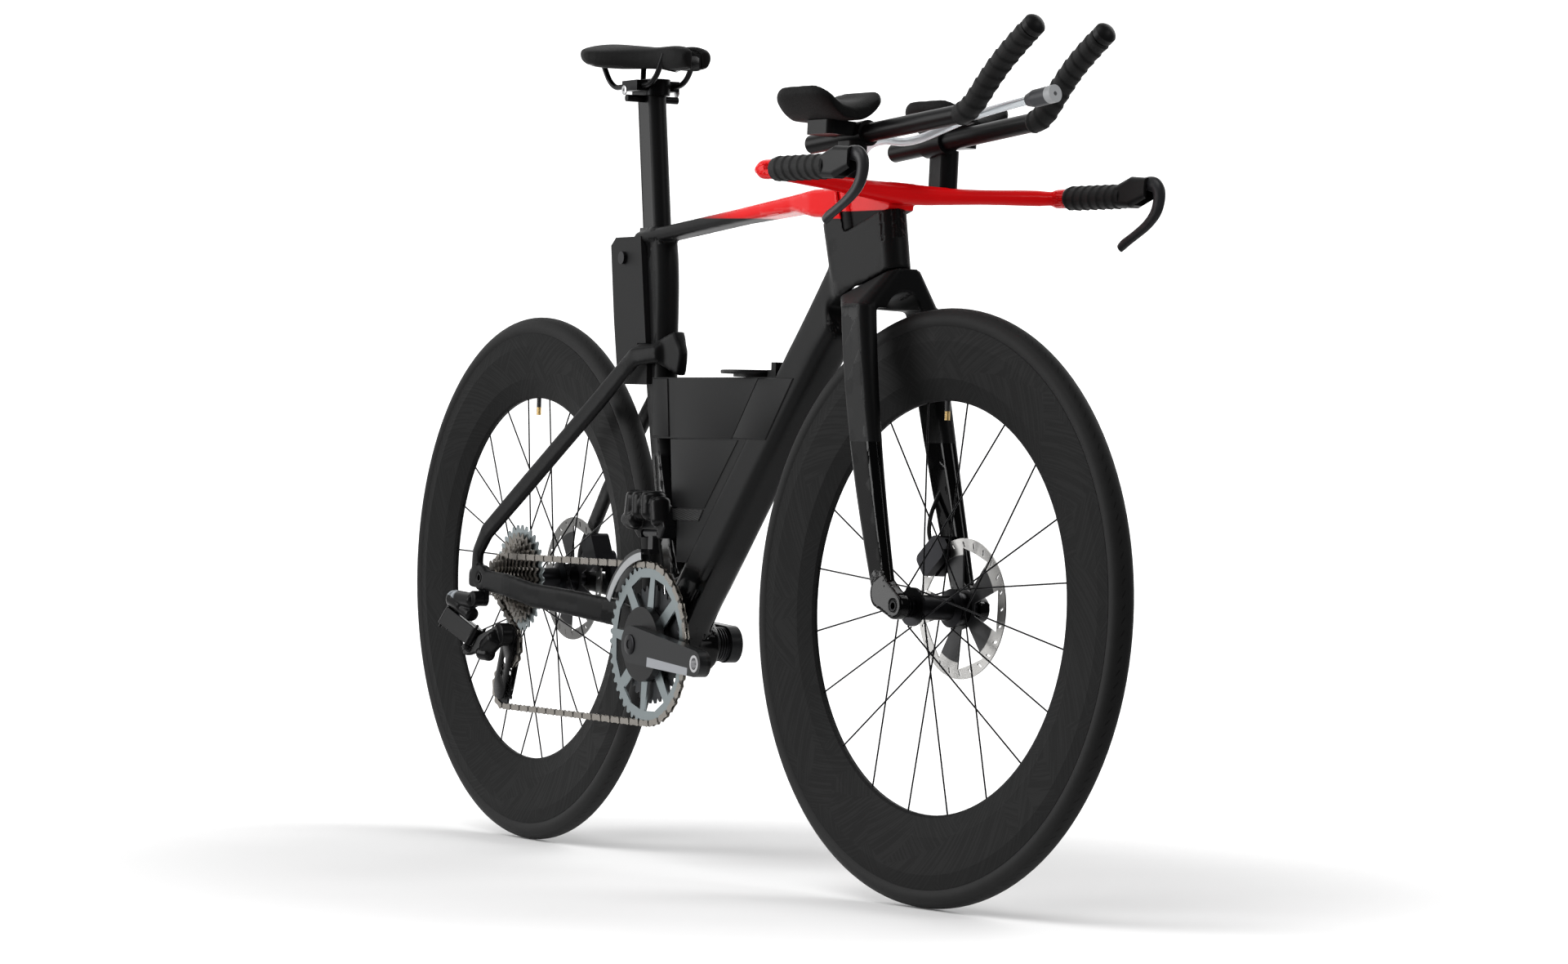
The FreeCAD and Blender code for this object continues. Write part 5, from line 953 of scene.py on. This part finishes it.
class BIKE_OT_cockpit(PieceOperator, bpy.types.Operator):
    """Base bar, risers, extensions, levers and buttons"""
    bl_idname = "bike.cockpit"
    bl_label = "Cockpit"

    def execute(self, context):
        self.bar()
        satin = finish("cockpit_satin", satin_carbon, colours().satin, 0.36)
        paint(satin, "aero_extensions", "riser_towers", "arm_rest_brackets", degrees=ROUND_EDGE)
        shell = finish("lever_plastic", moulded, colours().plastic, 0.46)
        paint(shell, "lever_bodies", "shift_button_right", "shift_button_left", degrees=ROUND_EDGE)
        blade = finish("lever_metal", moulded, BOLT_BLACK, 0.36)
        for side in ("right", "left"):
            self.lever(side, blade)
        return {"FINISHED"}

    def bar(self):
        """The bar's skin with tails grown behind the horns."""
        turn = steered()
        tip, root, radius = HORN_TAIL
        tails = []
        for sign in (-1, 1):
            ends = [turn @ (Vector((x, sign * y, z)) / 1000) for x, y, z in (tip, root)]
            tails.append((ends[0] * 1000, ends[1] * 1000, radius))
        bar = melt(grown(copy_of("base_bar", "bar_skin"), tails), sizes().frame_grid * 0.5, 10)
        soften(bar, 40, *((tail[0] / 1000, 0.028) for tail in tails))
        dress(bar, "steering", finish("bar_lacquer", bar_lacquer), "red_lacquer", "base_bar")

    def lever(self, side, blade):
        """A cast blade that hooks down and back from its pivot to a rounded tip."""
        name = side + "_brake_lever"
        pivot = steered().inverted() @ PIVOTS[name]
        places = [pivot + Vector((forward, 0, up)) / 1000 for forward, up, radius in LEVER_STEPS]
        tube = spline_curve(name + "_blade", places, 0.001, 10)
        for knot, step in zip(tube.data.splines[0].points, LEVER_STEPS):
            knot.radius = step[2]
        piece = meshed(tube)
        for vertex in piece.data.vertices:
            vertex.co.y = pivot.y + (vertex.co.y - pivot.y) * LEVER_WIDTH
        relax(piece, 4)
        smooth(piece)
        dress(settle(piece, name + "_blade", True), side + "_lever", blade, "black_plastic",
              "brake_lever_" + side)


class BIKE_OT_grips(PieceOperator, bpy.types.Operator):
    """Overlapped tape on the horns and on the bent ends of the extensions"""
    bl_idname = "bike.grips"
    bl_label = "Grip tape"

    def execute(self, context):
        tape = finish("grip_tape", wrap_rubber, colours().rubber)
        for name, route, radius in (
                ("horn_tape", HORN_ROUTE, HORN_TAPE_RADIUS),
                ("extension_tape", EXTENSION_ROUTE, EXTENSION_TAPE_RADIUS)):
            for side, sign in (("left", 1), ("right", -1)):
                points = [Vector((x, sign * y, z)) / 1000 for x, y, z in route]
                piece = self.wrapped(f"{side}_{name}", points, radius, sign)
                dress(settle(piece, f"{side}_{name}", True), "steering", tape, "black_rubber")
        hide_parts("grip_tape")
        return {"FINISHED"}

    def wrapped(self, name, points, radius, sign):
        """A tube whose skin rises and drops back once each turn, as overlapped tape does."""
        guide = spline_curve(name + "_guide", points, 0.0, 64)
        line = [vertex.co.copy() for vertex in bpy.data.meshes.new_from_object(guide).vertices]
        bpy.data.objects.remove(guide)
        tube = meshed(spline_curve(name, points, radius, 64))
        steps = distances(line)
        pitch, lift = sizes().tape_pitch, sizes().tape_lift
        crest, end_fade = 0.86, 0.003
        for vertex in tube.data.vertices:
            nearest = min(range(len(line)), key=lambda index: (line[index] - vertex.co).length_squared)
            outward = vertex.co - line[nearest]
            if outward.length < radius * 0.5:
                continue
            turn = math.atan2(outward.z, sign * outward.y) / (2 * math.pi)
            phase = (steps[nearest] / pitch + turn) % 1.0
            rise = phase / crest if phase < crest else (1 - phase) / (1 - crest)
            end = min(steps[nearest], steps[-1] - steps[nearest])
            vertex.co += outward.normalized() * lift * rise * min(1.0, end / end_fade)
        return smooth(tube)


class BIKE_OT_soft(PieceOperator, bpy.types.Operator):
    """Foam saddle cover and arm pads"""
    bl_idname = "bike.soft"
    bl_label = "Saddle and pads"

    def execute(self, context):
        foam = colours().foam
        saddle = self.swollen("saddle_cover", "saddle_foam", sizes().soft_grid, 8)
        dress(saddle, "saddle", finish("saddle_cover", soft_cover, foam), "black_rubber", "saddle_cover")
        pads = self.swollen("arm_pads", "arm_pad_foam", sizes().soft_grid * 0.6, 5)
        dress(pads, "steering", finish("pad_foam", soft_cover, foam, 420.0), "black_rubber", "arm_pads")
        paint(finish("saddle_shell", moulded, colours().plastic, 0.34), "saddle_shell")
        dark = finish("rail_dark", brushed, RAIL_BLACK, 0.32)
        paint(dark, "saddle_clamp")
        paint(dark, "saddle_rails", degrees=ROUND_EDGE)
        return {"FINISHED"}

    def swollen(self, node, name, grid, rounds):
        """Foam: a remeshed copy that is blown up a little as cloth, within a cap, and smoothed."""
        pad = melt(copy_of(node, name), grid, rounds)
        self.blow(pad)
        relax(pad, 3)
        modify(pad, "SUBSURF", levels=1, render_levels=1)
        return pad

    def blow(self, pad):
        start = [vertex.co.copy() for vertex in pad.data.vertices]
        scene, cap = bpy.context.scene, sizes().pad_swell
        pick(pad)
        cloth = pad.modifiers.new("swell", "CLOTH")
        for name, value in FOAM_CLOTH.items():
            setattr(cloth.settings, name, value)
        cloth.settings.effector_weights.gravity = 0.0
        cloth.point_cache.frame_start = 1
        cloth.point_cache.frame_end = FOAM_STEPS
        for step in range(1, FOAM_STEPS + 1):
            scene.frame_set(step)
        bpy.ops.object.modifier_apply(modifier=cloth.name)
        scene.frame_set(1)
        for vertex, place in zip(pad.data.vertices, start):
            move = vertex.co - place
            if move.length > cap:
                vertex.co = place + move.normalized() * cap


class BIKE_OT_wheels(PieceOperator, bpy.types.Operator):
    """Rims, tyres, hubs, rotors, spokes and valves"""
    bl_idname = "bike.wheels"
    bl_label = "Wheels"

    def execute(self, context):
        front_turn = Matrix.Rotation(sizes().steer_rest, 3, STEER_AXIS).to_euler()
        steel = colours().steel
        for wheel, centre, turn in (("rear", Vector(ORIGIN), ORIGIN),
                                    ("front", PIVOTS["front_wheel_spin"], tuple(front_turn))):
            valve = wheel + "_valve"
            for part, look, maker, values in (
                    ("_rim", "_rim_weave", rim_weave, (centre, turn)),
                    ("_tyre", "_tyre_rubber", tyre_rubber, (centre, turn)),
                    ("_rotor", "_rotor_steel", turned_metal,
                     (centre, turn, steel, NEAR_BLACK, CARRIER_RADIUS)),
                    ("_hub", "_hub_black", turned_metal, (centre, turn, HUB_BLACK, BOLT_BLACK, 0.0, 0.3)),
                    ("_valve", "_valve_metal", valve_metal, (valve, centre))):
                paint(finish(wheel + look, maker, *values), wheel + part, degrees=ROUND_EDGE)
            paint(finish("spoke_black", brushed, NEAR_BLACK, 0.35), wheel + "_spokes")
        paint(finish("caliper_black", brushed, CALIPER_BLACK, 0.3), "front_caliper", "rear_caliper")
        hose = finish("hose_black", moulded, colours().rubber, 0.42)
        paint(hose, "front_brake_hose", degrees=ROUND_EDGE)
        return {"FINISHED"}


class BIKE_OT_drive(PieceOperator, bpy.types.Operator):
    """Cranks, rings, sprockets and derailleurs"""
    bl_idname = "bike.drive"
    bl_label = "Drive"

    def execute(self, context):
        tint = colours()
        ring = finish("ring_grey", turned_metal, BRACKET, ORIGIN, tint.ring, SPIDER_GREY, SPIDER_RADIUS)
        paint(ring, "large_chainring", degrees=CUT_EDGE)
        paint(finish("small_ring_dark", brushed, SMALL_RING_GREY, 0.32), "small_chainring")
        paint(finish("crank_paint", crank_paint), "right_crank", degrees=CUT_EDGE)
        paint(finish("left_crank_paint", satin_carbon, tint.crank, 0.3), "left_crank", degrees=CUT_EDGE)
        paint(finish("sprocket_steel", sprocket_steel), "cassette", degrees=CUT_EDGE)
        black = finish("derailleur_black", satin_carbon, tint.plastic, 0.28)
        paint(black, "derailleur_inner_link", "upper_jockey_wheel", "lower_jockey_wheel", degrees=ROUND_EDGE)
        self.cage(black)
        edged = finish("derailleur_edged", derailleur_edged)
        grey = finish("cage_grey", cage_grey)
        for node, name, body, grid, rounds, material, lumps in (
                ("front_derailleur_body", "front_shift_housing", "frame", 0.0011, 10, black, MOTOR),
                ("front_derailleur_cage", "front_shift_cage_skin", "front_shift_cage", 0.0006, 3, grey, ()),
                ("derailleur_b_knuckle", "rear_shift_mount", "frame", 0.0010, 8, edged, BATTERY),
                ("derailleur_outer_link", "rear_shift_outer", "outer_link", 0.0008, 7, edged, ()),
                ("derailleur_p_knuckle", "rear_shift_knuckle", "lower_knuckle", 0.0010, 10, black, CLUTCH)):
            skin = melt(grown(copy_of(node, name), lumps), grid, rounds)
            dress(skin, body, material, "silver" if material == grey else "black_anodised", node)
        return {"FINISHED"}

    def cage(self, black):
        """Cage plates with lightening holes between the pulleys."""
        skin = copy_of("derailleur_cage", "cage_plates")
        for share, radius in CAGE_HOLES:
            centre = PIVOTS["upper_pulley_spin"].lerp(PIVOTS["lower_pulley_spin"], share) * 1000
            cutter = rod(centre - LEFT * 20, centre + LEFT * 20, radius)
            modify(skin, "BOOLEAN", object=cutter, operation="DIFFERENCE", solver="EXACT")
            bpy.data.objects.remove(cutter)
        bevel(skin, 0.0005, 2)
        dress(smooth(skin, PANEL_EDGE), "tension_cage", black, "black_anodised", "derailleur_cage")


class BIKE_OT_fittings(PieceOperator, bpy.types.Operator):
    """Crank caps, the left crank's ribbed collar and the saddle clamp's bolts"""
    bl_idname = "bike.fittings"
    bl_label = "Fittings"

    def execute(self, context):
        black = finish("bolt_black", brushed, BOLT_BLACK, 0.3)
        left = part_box("left_crank")[1].y
        caps = self.pair(BRACKET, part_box("right_crank")[0].y, left, *CRANK_CAP)
        dress(fasteners("crank_caps", caps), "crankset", black, "black_anodised")
        ribs = []
        for index in range(RIB_COUNT):
            deselect()
            bpy.ops.mesh.primitive_torus_add(
                major_segments=72, minor_segments=10, major_radius=left * 0.27, minor_radius=RIB_RADIUS,
                rotation=(math.pi / 2, 0, 0), location=BRACKET + LEFT * (RIB_START + RIB_STEP * index))
            ribs.append(bpy.context.object)
        dress(fasteners("left_crank_ribs", ribs), "crankset", black, "black_anodised")
        low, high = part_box("saddle_clamp")
        heads = self.pair((low + high) / 2, low.y, high.y, *CLAMP_BOLT)
        silver = finish("silver_metal", brushed, colours().silver, 0.28)
        dress(fasteners("saddle_clamp_bolts", heads), "seat_mast", silver, "silver")
        return {"FINISHED"}

    def pair(self, axle, right, left, radius, height):
        """Two bolt heads that face outward on an axle across the bike."""
        faces = ((right, -LEFT), (left, LEFT))
        return [bolt((axle.x, side, axle.z), outward, radius, height) for side, outward in faces]


class BIKE_OT_chain(PieceOperator, bpy.types.Operator):
    """Roller chain, link by link, round the ring, the sprocket and both jockey wheels"""
    bl_idname = "bike.chain"
    bl_label = "Chain"

    def execute(self, context):
        wheels = []
        for centre, teeth, turn in ((BRACKET, RING_TEETH, 1), (Vector(ORIGIN), SPROCKET_TEETH, 1),
                                    (PIVOTS["upper_pulley_spin"], PULLEY_TEETH, -1),
                                    (PIVOTS["lower_pulley_spin"], PULLEY_TEETH, 1)):
            pitch_radius = sizes().chain_pitch / 2 / math.sin(math.pi / teeth)
            wheels.append((Vector((centre.x, 0, centre.z)), pitch_radius, turn))
        line = self.loop(wheels)
        steps = distances(line)
        count = 2 * round(steps[-1] / sizes().chain_pitch / 2)
        pins = [self.at(line, steps, steps[-1] * index / count) for index in range(count)]
        outer = self.link("chain_outer_link", *OUTER_LINK, False)
        inner = self.link("chain_inner_link", *INNER_LINK, True)
        pale = finish("chain_plated", brushed, colours().chain, 0.26)
        dark = finish("chain_dark", brushed, scaled(colours().chain, 0.3), 0.34)
        dress(self.laid(outer, "chain_outer_links", pins, 1), "frame", pale, "steel", "chain")
        dress(self.laid(inner, "chain_inner_links", pins, 0), "frame", dark, "steel")
        return {"FINISHED"}

    def loop(self, wheels):
        """Points along the chain's line, with straight runs and arcs on each wheel."""
        runs = []
        for (start, first, turn), (end, second, next_turn) in zip(wheels, wheels[1:] + wheels[:1]):
            gap = end - start
            heading = math.atan2(gap.z, gap.x) + math.asin((turn * first - next_turn * second) / gap.length)
            right = Vector((math.sin(heading), 0, -math.cos(heading)))
            runs.append((start + right * turn * first, end + right * next_turn * second))
        line, arc_steps = [], 48
        for index, (leave, arrive) in enumerate(runs):
            centre, radius, turn = wheels[(index + 1) % len(wheels)]
            after = runs[(index + 1) % len(runs)][0]
            line += [leave, arrive]
            first = math.atan2(arrive.z - centre.z, arrive.x - centre.x)
            last = math.atan2(after.z - centre.z, after.x - centre.x)
            sweep = (turn * (last - first)) % (2 * math.pi)
            for step in range(1, arc_steps):
                angle = first + turn * sweep * step / arc_steps
                line.append(centre + Vector((math.cos(angle), 0, math.sin(angle))) * radius)
        return line + [runs[0][0]]

    def at(self, line, steps, distance):
        for before, after, low, high in zip(line, line[1:], steps, steps[1:]):
            if low <= distance <= high and high > low:
                return before.lerp(after, (distance - low) / (high - low))
        raise ValueError("the chain's line is too short")

    def laid(self, template, name, pins, first):
        """Every second link of the chain as one piece."""
        links = []
        for index in range(first, len(pins), 2):
            start, end = pins[index], pins[(index + 1) % len(pins)]
            copy = linked("chain_link", template.data.copy())
            along = (end - start).normalized()
            axes = Matrix((along, LEFT, along.cross(LEFT))).transposed().to_4x4()
            copy.data.transform(Matrix.Translation((start + end) / 2 - LEFT * sizes().chain_line) @ axes)
            links.append(copy)
        bpy.data.objects.remove(template)
        return fasteners(name, links)

    def link(self, name, half_gap, radius, rollers):
        """Two waisted side plates, with two rollers between the inner ones."""
        half_pitch, waist, thickness = sizes().chain_pitch / 2, radius * 0.66, 0.0010
        across = (math.pi / 2, 0, 0)
        deselect()
        made = []
        for sign in (-1, 1):
            bpy.ops.mesh.primitive_circle_add(
                vertices=16, radius=radius, fill_type="NGON", rotation=across,
                location=(0, sign * half_gap, 0))
            plate = settle(bpy.context.object, name)
            for vertex in plate.data.vertices:
                if abs(vertex.co.x) > 0.0005:
                    vertex.co.x += math.copysign(half_pitch, vertex.co.x)
                else:
                    vertex.co.x, vertex.co.z = 0.0, math.copysign(waist, vertex.co.z)
            modify(plate, "SOLIDIFY", thickness=thickness, offset=0.0)
            made.append(plate)
        for sign in (-1, 1) if rollers else ():
            bpy.ops.mesh.primitive_cylinder_add(
                vertices=10, radius=radius * 0.86, depth=half_gap * 2, rotation=across,
                location=(sign * half_pitch, 0, 0))
            made.append(settle(bpy.context.object, name))
        piece = joined(made)
        edit(piece, "SELECT")
        bpy.ops.mesh.normals_make_consistent(inside=False)
        return done(piece)


OPERATORS = (BIKE_OT_stage, BIKE_OT_drink, BIKE_OT_frame, BIKE_OT_cockpit, BIKE_OT_grips, BIKE_OT_soft,
             BIKE_OT_wheels, BIKE_OT_drive, BIKE_OT_fittings, BIKE_OT_chain)


class BIKE_PT_pieces(bpy.types.Panel):
    """Lists the pieces of the bike and the sizes and colours they use"""
    bl_label = "Time trial bike"
    bl_idname = "BIKE_PT_pieces"
    bl_space_type = "VIEW_3D"
    bl_region_type = "UI"
    bl_category = "Bike"

    def draw(self, context):
        for operator in OPERATORS:
            self.layout.operator(operator.bl_idname)
        for group in (context.scene.bike_sizes, context.scene.bike_colours):
            column = self.layout.column(align=True)
            for name in group.bl_rna.properties.keys():
                if name not in ("rna_type", "name"):
                    column.prop(group, name)


CLASSES = (BikeSizes, BikeColours) + OPERATORS + (BIKE_PT_pieces,)


def register():
    for made in CLASSES:
        bpy.utils.register_class(made)
    bpy.types.Scene.bike_sizes = PointerProperty(type=BikeSizes)
    bpy.types.Scene.bike_colours = PointerProperty(type=BikeColours)


def unregister():
    del bpy.types.Scene.bike_sizes
    del bpy.types.Scene.bike_colours
    for made in reversed(CLASSES):
        bpy.utils.unregister_class(made)


def main():
    register()
    bpy.ops.bike.stage()
    bpy.ops.bike.drink()
    bpy.ops.bike.frame()
    bpy.ops.bike.cockpit()
    bpy.ops.bike.grips()
    bpy.ops.bike.soft()
    bpy.ops.bike.wheels()
    bpy.ops.bike.drive()
    bpy.ops.bike.fittings()
    bpy.ops.bike.chain()


if __name__ == "__main__":
    main()
